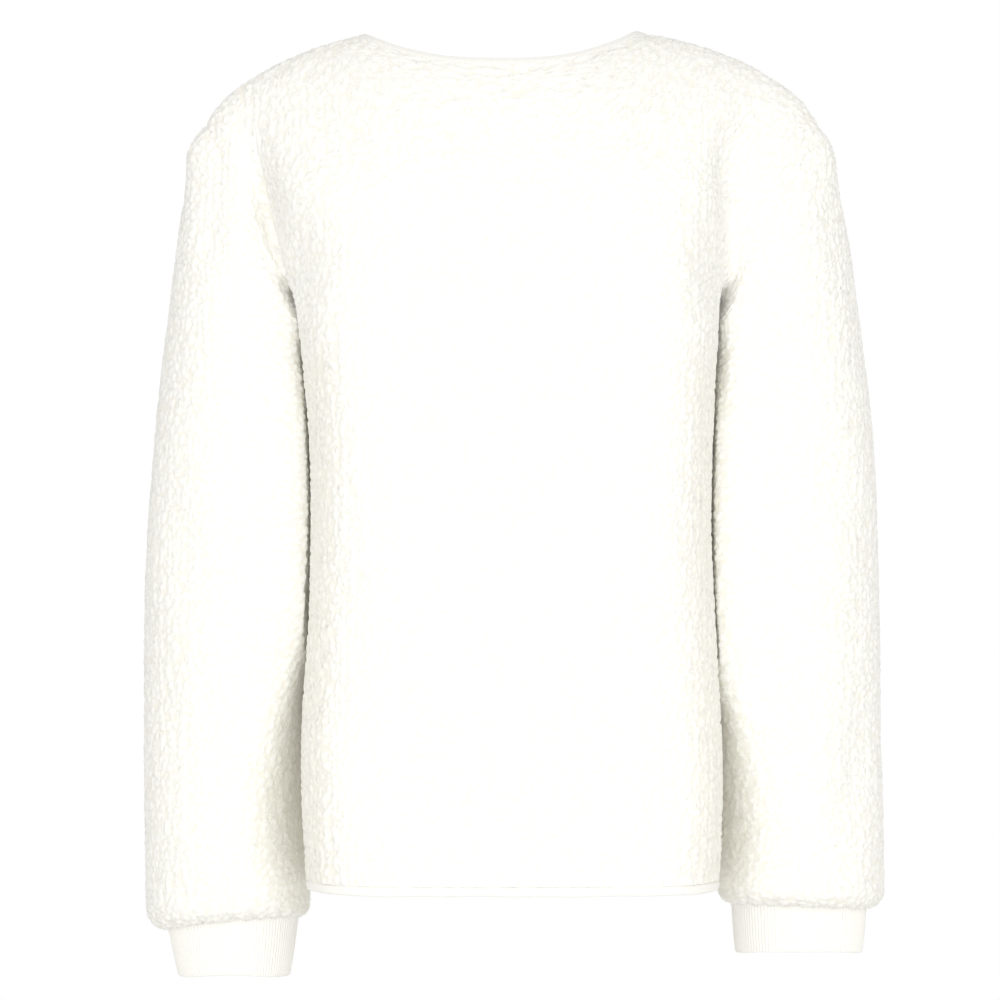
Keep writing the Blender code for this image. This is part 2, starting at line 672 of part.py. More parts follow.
def cloth_material(name, look):
    material = bpy.data.materials.new(name)
    material.use_nodes = True
    shader = material.node_tree.nodes["Principled BSDF"]
    shader.inputs["Base Color"].default_value, shader.inputs["Roughness"].default_value = look
    shader.inputs["Metallic"].default_value = 0.0
    return material


def split_quads(points, faces):
    """Cuts each quad from its highest corner, so two walls that face each other are cut alike."""
    triangles = []
    for face in faces:
        if len(face) != 4:
            triangles.append([int(i) for i in face])
            continue
        top = max(range(4), key=lambda k: tuple(np.round(points[face[k]][::-1], 1)))
        a, b, c, d = (int(face[(top + k) % 4]) for k in range(4))
        triangles += [[a, b, c], [a, c, d]]
    return triangles


def make_object(name, points, faces, look):
    mesh = bpy.data.meshes.new(name)
    mesh.from_pydata((points * MM).tolist(), [], split_quads(points, faces))
    mesh.validate()
    mesh.materials.append(cloth_material(name, look))
    mesh.shade_smooth()
    mesh.set_sharp_from_angle(angle=np.radians(SHARP_ANGLE))
    bpy.context.collection.objects.link(bpy.data.objects.new(name, mesh))


def weld_normals(grids, normals):
    """Gives the points that panels share along a seam one normal, the mean of their own."""
    total = {}
    for name, grid in grids.items():
        for point, normal in zip(grid.reshape(-1, 3), normals[name].reshape(-1, 3)):
            key = tuple(np.round(point, 3))
            total[key] = total.get(key, 0) + normal
    for name, grid in grids.items():
        flat = grid.reshape(-1, 3)
        shared = np.array([total[tuple(np.round(point, 3))] for point in flat])
        normals[name] = unit(shared).reshape(grid.shape)


def turn_armholes(grids, inward, rows):
    """Along the armholes the wall turns towards a point inside the shoulder.

    The columns next to the seam turn part of the way with it.
    """
    yoke = slice(int(np.argmin(np.abs(rows))), None)
    for side, sign in SIDES:
        target = np.array(ARMHOLE_INSIDE) * (sign, 1, 1)
        sleeve = "sleeve_" + side
        inward[sleeve][0] = unit(target - grids[sleeve][0])
        for name, edge, step in (("back", -1 if sign > 0 else 0, -sign), ("front_" + side, -1, -1)):
            turned = unit(target - grids[name][yoke, edge])
            inward[name][yoke, edge] = turned
            for near, share in enumerate(ARMHOLE_EASE, start=1):
                column = edge + int(near * step)
                own = inward[name][yoke, column]
                inward[name][yoke, column] = unit(share * turned + (1 - share) * own)


def turn_sleeve_ends(inward):
    """The rolled end of each sleeve has its wall above it, round the top of the cuff."""
    for side, _ in SIDES:
        ends = inward["sleeve_" + side]
        ends[-2] = unit(ends[-2] + (0, 0, 1))
        ends[-1] = (0, 0, 1)


def neck_run(arrays):
    """Views of the neck and front edge: up the left front, round the neck, down the right front."""
    neck = slice(SHOULDER_COLUMNS + 1, -SHOULDER_COLUMNS - 1)
    return (
        arrays["front_left"][:, 0],
        arrays["back"][-1, neck][::-1],
        arrays["front_right"][::-1, 0],
    )


def hem_run(arrays):
    """Views of the hem, from the right front edge round the back to the left front edge."""
    return (arrays["front_right"][0], arrays["back"][0, 1:], arrays["front_left"][0, -2::-1])


def even_neck(grids, inward):
    """Makes the wall turn evenly along the neck edge, square to it, for all that is sewn there."""
    tangent = unit(np.gradient(np.vstack(neck_run(grids)), axis=0))
    turned = np.vstack(neck_run(inward))
    for _ in range(NECK_EVENING):
        turned[1:-1] = 0.25 * turned[:-2] + 0.5 * turned[1:-1] + 0.25 * turned[2:]
    turned = unit(turned - np.sum(turned * tangent, axis=1, keepdims=True) * tangent)
    start = 0
    for view in neck_run(inward):
        view[:] = turned[start : start + len(view)]
        start += len(view)
    inward["back"][-1, SHOULDER_COLUMNS] = inward["front_right"][-1, 0]
    inward["back"][-1, -SHOULDER_COLUMNS - 1] = inward["front_left"][-1, 0]


def main():
    for item in list(bpy.data.objects):
        bpy.data.objects.remove(item)
    rows = levels()
    grids = {"back": back_panel(rows)}
    for side, sign in SIDES:
        grids["front_" + side] = front_panel(side, sign, rows)
        grids["sleeve_" + side] = sleeve_panel(side, sign, rows)
    outward = {}
    for name, grid in grids.items():
        facing = 1.0 if name.endswith("left") else -1.0
        outward[name] = facing * grid_normals(grid, closed=name.startswith("sleeve"))
    weld_normals(grids, outward)
    for name in grids:
        grids[name] = raise_folds(grids[name], outward[name])
    inward = {name: -normal for name, normal in outward.items()}
    turn_armholes(grids, inward, rows)
    turn_sleeve_ends(inward)
    even_neck(grids, inward)

    for name, grid in grids.items():
        sign = 1.0 if name.endswith("left") else -1.0
        if name.startswith("sleeve"):
            build_sleeve(name, grid, inward[name], sign)
        elif name == "front_left":
            build_panel(name, grid, inward[name], [((LOWER_ROWS, -1), (-1, -1, 0))])
        elif name == "front_right":
            corners = [((LOWER_ROWS, 0), (1, -1, 0))]
            build_panel(name, grid[:, ::-1], inward[name][:, ::-1], corners)
        else:
            corners = [((LOWER_ROWS, 0), (-1, 1, 0)), ((LOWER_ROWS, -1), (1, 1, 0))]
            build_panel(name, grid[:, ::-1], inward[name][:, ::-1], corners)
    for side, sign in SIDES:
        build_cuff(side, sign)

    down = np.array([0.0, 0.0, -1.0])
    sweep("hem_band", np.vstack(hem_run(grids)), down, np.vstack(hem_run(inward)), BINDING_LOOK)
    neck = np.vstack(neck_run(grids))
    neck_inward = np.vstack(neck_run(inward))
    outwards = unit(np.cross(unit(np.gradient(neck, axis=0)), neck_inward))
    sweep("neck_and_front_band", neck, outwards, neck_inward, BINDING_LOOK)


main()
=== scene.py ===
"""A collarless drop-shoulder cardigan in ivory teddy fleece, filled out as it hangs when worn.

+Z is up, the back faces +Y and the wearer's left is +X. The tables and sizes below are
millimetres, and `MM` turns them into metres when the meshes are written.

Five fleece panels are cut and sewn: a back, two fronts and two sleeves. Each is a grid of outer
points, a function of its level and its column, read from splines through the named lines of the
tables. The pile's relief is worked into the grid, and a wall with the knitted ground on its
inside lies behind it. Two rib cuffs and two runs of binding finish the edges.
"""

import bpy
import numpy as np

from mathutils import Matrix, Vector


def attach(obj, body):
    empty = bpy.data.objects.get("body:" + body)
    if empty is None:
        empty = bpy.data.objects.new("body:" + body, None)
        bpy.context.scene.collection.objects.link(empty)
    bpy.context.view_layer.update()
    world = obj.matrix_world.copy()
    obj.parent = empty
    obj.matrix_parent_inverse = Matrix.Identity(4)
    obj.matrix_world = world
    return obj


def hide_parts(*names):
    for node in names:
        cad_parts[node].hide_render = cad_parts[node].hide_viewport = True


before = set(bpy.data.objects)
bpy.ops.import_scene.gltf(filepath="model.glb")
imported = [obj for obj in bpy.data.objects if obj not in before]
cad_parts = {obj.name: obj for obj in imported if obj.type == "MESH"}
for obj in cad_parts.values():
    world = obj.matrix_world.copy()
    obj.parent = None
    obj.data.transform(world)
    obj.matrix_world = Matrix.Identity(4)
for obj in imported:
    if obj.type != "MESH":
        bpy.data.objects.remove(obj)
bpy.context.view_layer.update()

MM = 0.001

# Cloth
FLEECE = 6.0  # the knitted ground with its pile
SEAM_GAP = 0.04  # clear space between two sewn pieces
BAND_WIDTH = 8.5  # the binding, from the fleece to its fold
BAND_THICKNESS = 4.0
BAND_DEPTH = 1.0  # the binding's face lies this far below the tips of the pile
CUFF_WALL = 2.6
CUFF_SAG = 3.6  # the sides of the cuff's fold hang this far below its middle
CUFF_TUCK = 4.5  # how far the cuff runs up inside the sleeve end
RIBS = 108
RIB_HEIGHT = 0.7

# Levels: 0 is the underarm and 1 is the shoulder seam. Below the underarm, a level is a height.
UNDERARM_Z = -200.0
LEVEL_LENGTH = 160.0  # the height of one level below the underarm
HEM_Z = -602.0  # the fleece ends here, and the hem band goes on below it
YOKE_LEVELS = (0.1, 0.2, 0.3, 0.4, 0.5, 0.58, 0.66, 0.74, 0.82, 0.88, 0.94, 1.0)

# Columns across a half of the back: from the centre to the neck point, and on to the side.
NECK_COLUMNS = 6
SHOULDER_COLUMNS = 13
SHOULDER_KEYS = (0, 4, 7, 9, 11, 13)

# The neck and the front edges
NECK_HALF = 105.0
NECK_SHIFT = 8.0  # the neck sits this far towards the wearer's left
NECK_BACK_DEPTH = 55.0
NECK_MIDDLE_Z = -26.8  # the middle of the back neck
NECK_SWEEP = 2.5  # the power by which the neck edge rises towards the neck points
SETTLE_LEVEL = 0.5  # the yoke's rows above this level take up the true line of the top edge
FRONT_GAP = 3.0
FRONT_EDGE = 0.5 * FRONT_GAP + BAND_WIDTH + 0.5 * SEAM_GAP
VEE_START = -0.05  # the level where the front edge leaves the upright
VEE_BEND = 1.25  # the power by which it leans out
SHOULDER_Y = 5.0  # the shoulder seam lies a little behind the crest of the shoulder
SIDE_Y = -12.0  # the side seam
FOLD_Y = 38.0  # the body is widest here, behind the sleeves

# The sleeve end, rolled in over its cuff
LEVEL_RING_Z = -380.0  # the first ring of the sleeve that is level
SLEEVE_ROLL = 15.5  # the height of the roll
ROLL_TURN = 52.0  # past this angle of the roll the wall turns upwards
MOUTH_EASE = 0.4  # how far the sleeve's mouth stands off the ribs
LEAN_Z = -570.0  # below this height a sleeve's rings take up the lean of its cuff
SEAM_REACH = 75.0  # the sleeve takes up its own round form within this length of the armhole

# Each sleeve lies fuller against the back of the body, and is drawn in to it down to the open gap.
ARM_FILL = 20.0
ARM_FILL_REACH = 18.0
ARM_FILL_END = -420.0
ARM_FILL_FADE = 170.0
ARM_DRAW = 10.0
ARM_DRAW_START = -215.0
ARM_DRAW_END = {"left": -410.0, "right": -430.0}
ARM_DRAW_FADE = 75.0
ARM_CLEAR = 1.6  # but stays this far off the body
CORNER_PEAK = 0.325  # the most that a sine times the cube of a cosine reaches

# The wall at the armholes
ARMHOLE_INSIDE = (150.0, -12.0, -140.0)  # the armhole's wall turns towards this point
ARMHOLE_EASE = (0.8, 0.6, 0.42, 0.25, 0.12)  # how far the next columns of the wall turn with it

SIDES = (("left", 1.0), ("right", -1.0))

# Fine grids
LOWER_ROWS = 208
YOKE_ROWS = 104
NECK_FINE = 40
SHOULDER_FINE = 104
SLANTED_RINGS = 160
LEVEL_RINGS = 128
ROLL_RINGS = 16
SETTLE_EVENING = 22  # how often the move of the top edge is evened from one row to the next
NECK_EVENING = 250  # and how often the wall's direction is evened round the neck
WALL_STEP = 4  # points of the fine face for each one of the knitted ground behind it
NECK = slice(SHOULDER_FINE + 1, -SHOULDER_FINE - 1)  # the back's columns along the neck

# The pile
CURL = 5.8  # from one nub of the pile to the next
CURL_WANDER = 0.9  # the rows of nubs wander this far
CURL_WAVES = (0.71, 0.63, 0.77)
SEED_MARGIN = 0.12  # a seed keeps this share of a cell off its walls
HOLLOW = 0.3  # the width of the hollows between nubs, in cells
CROWN = 0.85  # the reach of a nub's crown, in cells
PILE_DEPTH = 1.35  # from the tips down to the hollows
TUFT_SIZE = 9.0  # some nubs stand lower than others, in patches of this size
TUFT_DEPTH = 0.25
EDGE_DEPTH = 0.15  # the pile thins out towards every sewn edge
EDGE_REACH = 3.0
LIP_DEPTH = 1.8  # the pile turns in this far over each rim
# The lip's lower pile mark paints the hollows' shade over each rim
LIP_PILE_SHADE = 0.35
SWELL = 0.9  # soft uneven swelling of the cloth
SWELL_SIZE = 70.0
GATHERS = 23  # round the end of a sleeve
GATHER_DEPTH = 0.75
GATHER_REACH = 26.0
OVERHANG = 1.2  # the pile stands out over the binding
SWELL_LANE = 11  # the random draws that the swelling and the tufts read
TUFT_LANE = 7
CELL_FACTORS = (73856093, 19349663, 83492791)  # odd numbers that mix a cell's place
LANE_FACTOR = 668265263
MIX_FACTOR = 73244475
LOW_BITS = 0xFFFFFFFF

# Rib and binding
RIB_POINTS = 8
RIB_ROUNDNESS = 0.65  # the power that makes the ribs broader than their grooves
FOLD_POINTS = 9
CUFF_FACE_POINTS = 24
CUFF_INSIDE_STEP = 3
BINDING_STEP = 1.0
BINDING_FLAT = 0.8  # the share of the binding's width before it rounds into its fold
BINDING_TUCK = 1.5  # how far its edge sinks under the pile
STITCH_GROOVE = 0.4
STITCH_PUCKER = 0.1
STITCH_LINE = 2.0  # from the fleece to the stitches
STITCH_PITCH = 3.2
STITCH_LENGTH = 2.3
STITCH_RADIUS = 0.24
STITCH_SINK = 0.25  # how deep a stitch sits in the binding's face
STITCH_START = 2.0  # the first and last stitch are this far from the binding's ends
STITCH_SLICES = (-0.92, -0.5, 0.0, 0.5, 0.92)
STITCH_SIDES = 6

# Colours
PILE_TIP = (0.948, 0.945, 0.918, 1.0)
# The hollow colour is painted shade, darker and warmer between the nubs
PILE_HOLLOW_SHADE = (0.89, 0.865, 0.775, 1.0)
PILE_SHADE = (0.915, 0.905, 0.86, 1.0)
GROUND = (0.90, 0.875, 0.80, 1.0)
GROUND_SHADE = (0.80, 0.76, 0.66, 1.0)
# The deeper rib and jersey tones are painted shade in the grooves between the knitted loops
RIB_TONE = (0.945, 0.94, 0.91, 1.0)
RIB_GROOVE_SHADE = (0.905, 0.895, 0.85, 1.0)
JERSEY_TONE = (0.945, 0.938, 0.905, 1.0)
JERSEY_GROOVE_SHADE = (0.91, 0.90, 0.86, 1.0)
THREAD = (0.92, 0.90, 0.84, 1.0)
SHEEN_TONE = (1.0, 0.985, 0.95, 1.0)
WHITE = (1.0, 1.0, 1.0, 1.0)

# Painted shade: the pile's mark is lowered towards the hollows' darker, warmer tone where the
# sleeves and the sides of the body face each other
SIDE_SHADE_FROM = -190.0
SIDE_SHADE_FADE = 60.0
SIDE_SHADE_X = 110.0  # on the body, only the pile further out than this
SIDE_SHADE_X_FADE = 25.0
SIDE_SHADE_TURN = 0.35  # and only pile that faces the other side by more than this share
SIDE_SHADE_TURN_FADE = 0.5
SIDE_SHADE_PILE = 0.25

# The flat size of each piece, in metres: its width, its length, and the area of its cut where it
# isn't a rectangle. Seam allowances and a binding's turned-in edges are left out, and a sleeve
# and a cuff are given all round.
CUTS = {
    "back": (0.54, 0.63, 0.276),
    "front_left": (0.19, 0.66, 0.104),
    "front_right": (0.19, 0.66, 0.106),
    "sleeve_left": (0.394, 0.599, 0.192),
    "sleeve_right": (0.393, 0.579, 0.189),
    "cuff_left": (0.27, 0.038, None),
    "cuff_right": (0.276, 0.035, None),
    "hem_band": (0.802, 0.015, None),
    "neck_and_front_band": (1.587, 0.015, None),
}

# Studio, in metres: each light's place, what it faces, its size, its power and its colour
WORLD_LIGHT = 0.72
WORLD_TONE = (1.0, 0.995, 0.985, 1.0)
FLOOR_RADIUS = 1.15
FLOOR_Z = -0.86
FLOOR_SIDES = 128
FLOOR_TONE = (0.9, 0.9, 0.89, 1.0)
CAMERA_PLACE = (0.00864, 2.8, -0.334)
CAMERA_LENS = 140.0  # millimetres, as its sensor is
CAMERA_SENSOR = 36.0
LIGHTS = (
    ("back softbox", (-0.1, 2.5, -0.06), (0, 0, -0.36), (4.2, 2.0), 45.0, (1.0, 1.0, 0.982)),
    ("front softbox", (-0.3, -2.4, -0.1), (0, 0, -0.34), (3.4, 2.0), 31.0, (1.0, 0.998, 0.99)),
)


def table(columns, *rows):
    """Rows of numbers as one array for each named column."""
    return dict(zip(columns.split(), np.array(rows, float).T))


# The body below the underarm, by height: the depth of the back and the fronts at the centre,
# the half width at the widest line of each side, and the side seam.
BODY = table(
    "z back front fold_left fold_right side",
    (-602, 96, -90, 147, 147.5, 136.5),
    (-550, 98.5, -93, 150.5, 150, 137.5),
    (-480, 100, -96, 149, 148, 138),
    (-410, 101.5, -99, 145.5, 144, 137.5),
    (-340, 103, -102, 143.5, 142, 137.5),
    (-280, 104.5, -105, 145.5, 143.5, 138.5),
    (-235, 105.5, -107, 149.5, 145.5, 139.5),
    (-200, 106, -107, 153.5, 147, 141.5),
)

# The level section of the body: each key line as a share of the half width and of the depth.
# The back's depth runs from the widest line to the centre back, and the front's from the side.
SECTION = table(
    "back_width back_depth front_width front_depth",
    (0.56, 0.965, 0.00, 1.000),
    (0.83, 0.780, 0.50, 0.975),
    (0.965, 0.380, 0.80, 0.780),
    (1.00, 0.000, 0.90, 0.570),
    (0.965, -0.420, 0.97, 0.300),
    (0.00, 0.000, 1.00, 0.000),
)

# The yoke, above the underarm: the same key lines at three levels.
YOKE_BACK_LEFT_X = table(
    "level neck blade fold valley crest",
    (0.25, 86, 131, 157, 160.5, 159.5),
    (0.50, 90, 139, 165.5, 172, 179),
    (0.75, 98, 148, 174, 184.5, 195),
)
YOKE_BACK_LEFT_Y = table(
    "level centre neck blade fold valley crest",
    (0.25, 104, 100, 84, 47, 36, 29),
    (0.50, 98.5, 94, 79, 48, 22, 29),
    (0.75, 84, 73, 60, 44, 33, 34),
)
YOKE_BACK_RIGHT_X = table(
    "level neck blade fold valley crest",
    (0.25, 83, 125, 147, 150.5, 152),
    (0.50, 83, 126, 146, 154.5, 166.5),
    (0.75, 86, 129, 146.5, 157.5, 179),
)
YOKE_BACK_RIGHT_Y = table(
    "level centre neck blade fold valley crest",
    (0.25, 104, 100, 85, 48, 37, 29),
    (0.50, 98.5, 94, 81, 56, 34, 31),
    (0.75, 84, 74, 66, 57, 46, 41),
)
YOKE_FRONT_X = table(
    "level edge chest fold valley crest",
    (0.25, 30, 80, 118, 136, 146),
    (0.50, 56, 98, 130, 150, 165),
    (0.75, 84, 122, 150, 170, 186),
)
YOKE_FRONT_Y = table(
    "level edge chest fold valley crest",
    (0.25, -101, -97, -80, -62, -46),
    (0.50, -82, -82, -73, -61, -58),
    (0.75, -50, -55, -55, -52, -50),
)
# Heights of the yoke's levels at the centre back and the front edge, and how far the centre
# back has moved towards the shifted neck. The armhole's own heights hold at the other end, and
# the key lines between them take a share of the fall.
YOKE_HEIGHTS = table(
    "level back_centre front_edge centre_x",
    (0.25, -158, -153, 0.8),
    (0.50, -115, -106, 2.4),
    (0.75, -70, -57, 4.8),
)
BACK_FALL = (0.05, 0.2, 0.4, 0.72, 0.88)
FRONT_FALL = (0, 0.35, 0.6, 0.75, 0.88)

# The armhole, once round: up the back from the underarm, over the shoulder, down the front.
# `turn` is the direction of each point round the sleeve, in degrees from its outer line.
ARMHOLE = table(
    "step x_left x_right y z turn",
    (0.00, 141.5, 141.5, -12, -200, 180),
    (0.25, 156.5, 152.5, 23, -184, 137),
    (0.50, 186, 177, 35, -143, 97),
    (0.75, 205, 203, 31, -98, 60),
    (1.00, 220, 220, 5, -65, 12),
    (1.25, 206, 206, -42, -98, -50),
    (1.50, 181, 181, -64, -143, -97),
    (1.75, 151, 151, -38, -184, -140),
)

# The crest of the shoulder, from the neck out to the sleeve.
SHOULDER = table(
    "x z",
    (95, 2),
    (113, -1.2),
    (128, -4.8),
    (143, -9.2),
    (157, -14.8),
    (168, -19.8),
    (178, -25.5),
    (189, -32),
    (198, -38.2),
    (205, -44.2),
    (211, -50.6),
    (216, -57.6),
    (220, -65),
)

# The sleeve's level section by height: its outer and inner sides, its centre and half depth.
# `press` is how far the body flattens the back of the inner side, where the two lie together.
ARM = table(
    "z outer_left outer_right inner_left inner_right y depth press_left press_right",
    (-65, 221, 221, 160, 160, -6, 30, 0, 0),
    (-76, 231, 229.5, 158, 158, -8, 38, 0, 0),
    (-100, 236, 235.5, 156, 156, -11, 46, 0, 0),
    (-140, 241.5, 243, 151, 151, -15, 53, 0, 0),
    (-180, 246.5, 249.5, 146.5, 146.5, -17.5, 56, 0, 0),
    (-230, 253, 256, 146.5, 146.5, -19.5, 58, 0, 0),
    (-280, 258.5, 261, 145, 144, -21, 60, 0, 0),
    (-330, 262.5, 265, 143, 142.5, -22, 61, 0, 0),
    (-400, 266.5, 267.5, 141.5, 141.5, -23.5, 61.5, 0.5, 0),
    (-450, 267.5, 268.5, 143.5, 142, -24.5, 61, 3.5, 0.5),
    (-500, 267.8, 269, 147, 144.5, -25.3, 60.5, 8, 3.5),
    (-550, 267.8, 269.7, 149, 146.5, -26.2, 59.5, 9, 6),
    (-595, 267.5, 270.8, 148, 147.5, -27, 58.5, 5, 4),
    (-640, 267, 272, 146, 148.5, -27.5, 57, 0, 0),
)

# Each cuff: the end of its sleeve, how far that end drops towards the outer side and rises
# towards the back, then the centre and half width of the cuff's top and bottom.
CUFF = table(
    "sleeve_end drop rise centre_top half_top bottom centre_bottom half_bottom",
    (-642.5, 5, 5, 202.3, 47.3, -676, 201.9, 40.8),
    (-629, 2, 3, 208.5, 49.3, -658.8, 208.5, 46.4),
)
CUFF_Y = -27.5
CUFF_DEPTH_TOP = 38.0
CUFF_DEPTH_BOTTOM = 34.0

# Soft troughs and ridges: both ends of each line, how wide it is, and how far it moves the cloth.
FOLDS = table(
    "x1 y1 z1 x2 y2 z2 width push",
    (216, 34, -100, 219, 34, -175, 15, -4),
    (196, 42, -120, 199, 44, -190, 15, 2),
    (250, 20, -300, 225, 36, -420, 22, -3),
    (-240, 20, -100, -228, 30, -170, 16, -3),
    (-262, 8, -470, -236, 32, -590, 22, -4),
    (-232, 36, -300, -214, 40, -400, 20, -2.5),
    (232, -70, -260, 214, -84, -380, 20, -3.5),
    (-230, -70, -300, -216, -84, -430, 20, -3.5),
    (60, -95, -330, 30, -92, -560, 26, 3),
    (-64, -95, -300, -34, -92, -540, 26, 3),
    (112, 80, -330, 90, 92, -560, 26, -3),
    (-118, 78, -380, -96, 90, -570, 26, -3),
)

CREASE_TURN = 1.6  # how quickly a crease grows as the cloth turns to its side
CREASE_TAPER = 0.8  # the power by which it fades at its ends

# Smaller creases that are seen from one side: both ends in x and z, how wide, how far they move
# the cloth, and the side they are on (1 is the back, -1 the front). They fade out at their ends.
CREASES = table(
    "x1 z1 x2 z2 width push face",
    (214, -122, 180, -137, 7.5, -1.3, 1),
    (206, -112, 186, -123, 6, -0.9, 1),
    (224, -150, 200, -170, 9, -1.2, 1),
    (-150, -118, -161, -133, 5, -1.6, 1),
    (-168, -88, -150, -152, 9, -1.4, 1),
    (-224, -288, -256, -380, 15, -2.4, 1),
    (-264, -330, -232, -525, 17, -2.2, 1),
    (-258, -440, -246, -556, 12, -1.6, 1),
    (246, -210, 232, -300, 15, -1.3, 1),
    (256, -430, 232, -560, 16, -1.6, 1),
    (206, -470, 222, -600, 14, -1.3, 1),
    (140, -428, 98, -548, 15, -2.6, 1),
    (128, -380, 112, -452, 13, -1.3, 1),
    (-138, -534, -58, -588, 13, -2.4, 1),
    (-128, -470, -104, -556, 15, -1.7, 1),
    (40, -520, 12, -598, 20, -1.4, 1),
    (-30, -250, 26, -330, 34, -1.2, 1),
    (92, -120, 118, -178, 20, -1.4, 1),
    (-88, -112, -112, -168, 18, -1.5, 1),
    (10, -60, -24, -104, 22, -1, 1),
    (196, -120, 168, -136, 8, -1.1, -1),
    (-198, -116, -166, -140, 9, -1.2, -1),
    (-188, -146, -158, -158, 7, -0.8, -1),
    (180, -150, 158, -166, 7, -0.8, -1),
    (126, -230, 96, -380, 16, -2.2, -1),
    (-122, -260, -84, -420, 17, -2.4, -1),
    (70, -440, 40, -566, 17, -2, -1),
    (-54, -480, -30, -584, 15, -1.8, -1),
    (112, -480, 120, -590, 14, -1.6, -1),
    (-116, -500, -124, -592, 13, -1.7, -1),
    (238, -380, 206, -470, 15, -2.2, -1),
    (-236, -360, -210, -468, 14, -2, -1),
    (214, -520, 240, -600, 13, -1.6, -1),
    (-220, -510, -238, -596, 13, -1.8, -1),
)


def spline(knots, values, at):
    """A natural cubic spline through `values`, whose first axis follows the knots, read at `at`."""
    knots = np.asarray(knots, float)
    values = np.asarray(values, float)
    at = np.asarray(at, float)
    step = np.diff(knots)
    flat = values.reshape(len(knots), -1)
    slope = np.diff(flat, axis=0) / step[:, None]
    matrix = np.eye(len(knots))
    right = np.zeros_like(flat)
    for i in range(1, len(knots) - 1):
        matrix[i, i - 1 : i + 2] = (step[i - 1], 2 * (step[i - 1] + step[i]), step[i])
        right[i] = 6 * (slope[i] - slope[i - 1])
    bend = np.linalg.solve(matrix, right)
    k = np.clip(np.searchsorted(knots, at, side="right") - 1, 0, len(knots) - 2)
    b = ((at - knots[k]) / step[k])[:, None]
    a = 1 - b
    curve = a * flat[k] + b * flat[k + 1]
    curve += ((a**3 - a) * bend[k] + (b**3 - b) * bend[k + 1]) * step[k][:, None] ** 2 / 6
    return curve.reshape((len(at),) + values.shape[1:])


def read(rows, name, z):
    """One column of a table that goes down by height or up by level, read at `z`."""
    key = next(iter(rows))
    order = np.argsort(rows[key])
    return spline(rows[key][order], rows[name][order], np.atleast_1d(z))


def unit(vectors):
    return vectors / np.maximum(np.linalg.norm(vectors, axis=-1, keepdims=True), 1e-12)


def run_of(points, axis=0):
    """Distance along each polyline that follows an axis, from its first point."""
    step = np.linalg.norm(np.diff(points, axis=axis), axis=-1)
    return np.insert(np.cumsum(step, axis=axis), 0, 0, axis=axis)


def read_along(points, run, at):
    """The points of a polyline at some distances along its run."""
    return np.stack([np.interp(at, run, points[:, k]) for k in range(3)], axis=1)


def evenly(points, count):
    """`count` points spaced evenly along a dense polyline, both ends kept."""
    run = run_of(points)
    return read_along(points, run, np.linspace(0, run[-1], count))


def smooth(x):
    x = np.clip(x, 0, 1)
    return x * x * (3 - 2 * x)


# Curves that the pieces share


def levels():
    """The levels of the panels' rows: even heights up to the underarm, then even yoke steps."""
    hem = (HEM_Z - UNDERARM_Z) / LEVEL_LENGTH
    lower = np.linspace(hem, 0, LOWER_ROWS + 1)
    knots = np.r_[0, YOKE_LEVELS]
    yoke = np.interp(np.linspace(0, len(YOKE_LEVELS), YOKE_ROWS + 1), np.arange(len(knots)), knots)
    return np.r_[lower, yoke[1:]]


def armhole(side, steps):
    """The armhole curve, closed: its table is wrapped round so that it has no ends."""
    x = ARMHOLE["x_" + side]
    points = np.stack([x, ARMHOLE["y"], ARMHOLE["z"]], axis=1)
    step = ARMHOLE["step"]
    knots = np.r_[step[-3:] - 2, step, step[:4] + 2]
    return spline(knots, np.vstack([points[-3:], points, points[:4]]), steps)


def armhole_turn(steps):
    """The direction round the sleeve, in degrees, for each step round the armhole."""
    step = np.r_[ARMHOLE["step"], 2.0]
    return spline(step, np.r_[ARMHOLE["turn"], -180.0], steps)


def side_seam(z):
    x = read(BODY, "side", z)
    return np.stack([x, np.full_like(x, SIDE_Y), z], axis=1)


def shoulder_seam(sign):
    """From the neck point to the shoulder point, spaced evenly, with x counted outwards."""
    x = np.linspace(NECK_HALF + sign * NECK_SHIFT, SHOULDER["x"][-1], 200)
    z = spline(SHOULDER["x"], SHOULDER["z"], x)
    y = np.full_like(x, SHOULDER_Y)
    return evenly(np.stack([x, y, z], axis=1), SHOULDER_FINE + 1)


def back_neck(columns):
    """The back neck edge: an ellipse seen from above, swept up towards the neck points."""
    angle = 0.5 * np.pi * np.asarray(columns) / NECK_COLUMNS
    side = np.sin(angle)
    sign = np.where(side < 0, -1.0, 1.0)
    end_z = spline(SHOULDER["x"], SHOULDER["z"], NECK_HALF + sign * NECK_SHIFT)
    x = NECK_SHIFT + NECK_HALF * side
    y = SHOULDER_Y + NECK_BACK_DEPTH * np.cos(angle)
    z = NECK_MIDDLE_Z + (end_z - NECK_MIDDLE_Z) * np.abs(side) ** NECK_SWEEP
    return np.stack([x, y, z], axis=1)


def front_edge_x(level, sign):
    """The front edge is upright up to the vee, then leans out to the neck point."""
    rise = np.clip((level - VEE_START) / (1 - VEE_START), 0, 1)
    return FRONT_EDGE + (NECK_HALF + sign * NECK_SHIFT - FRONT_EDGE) * rise**VEE_BEND


# Panels


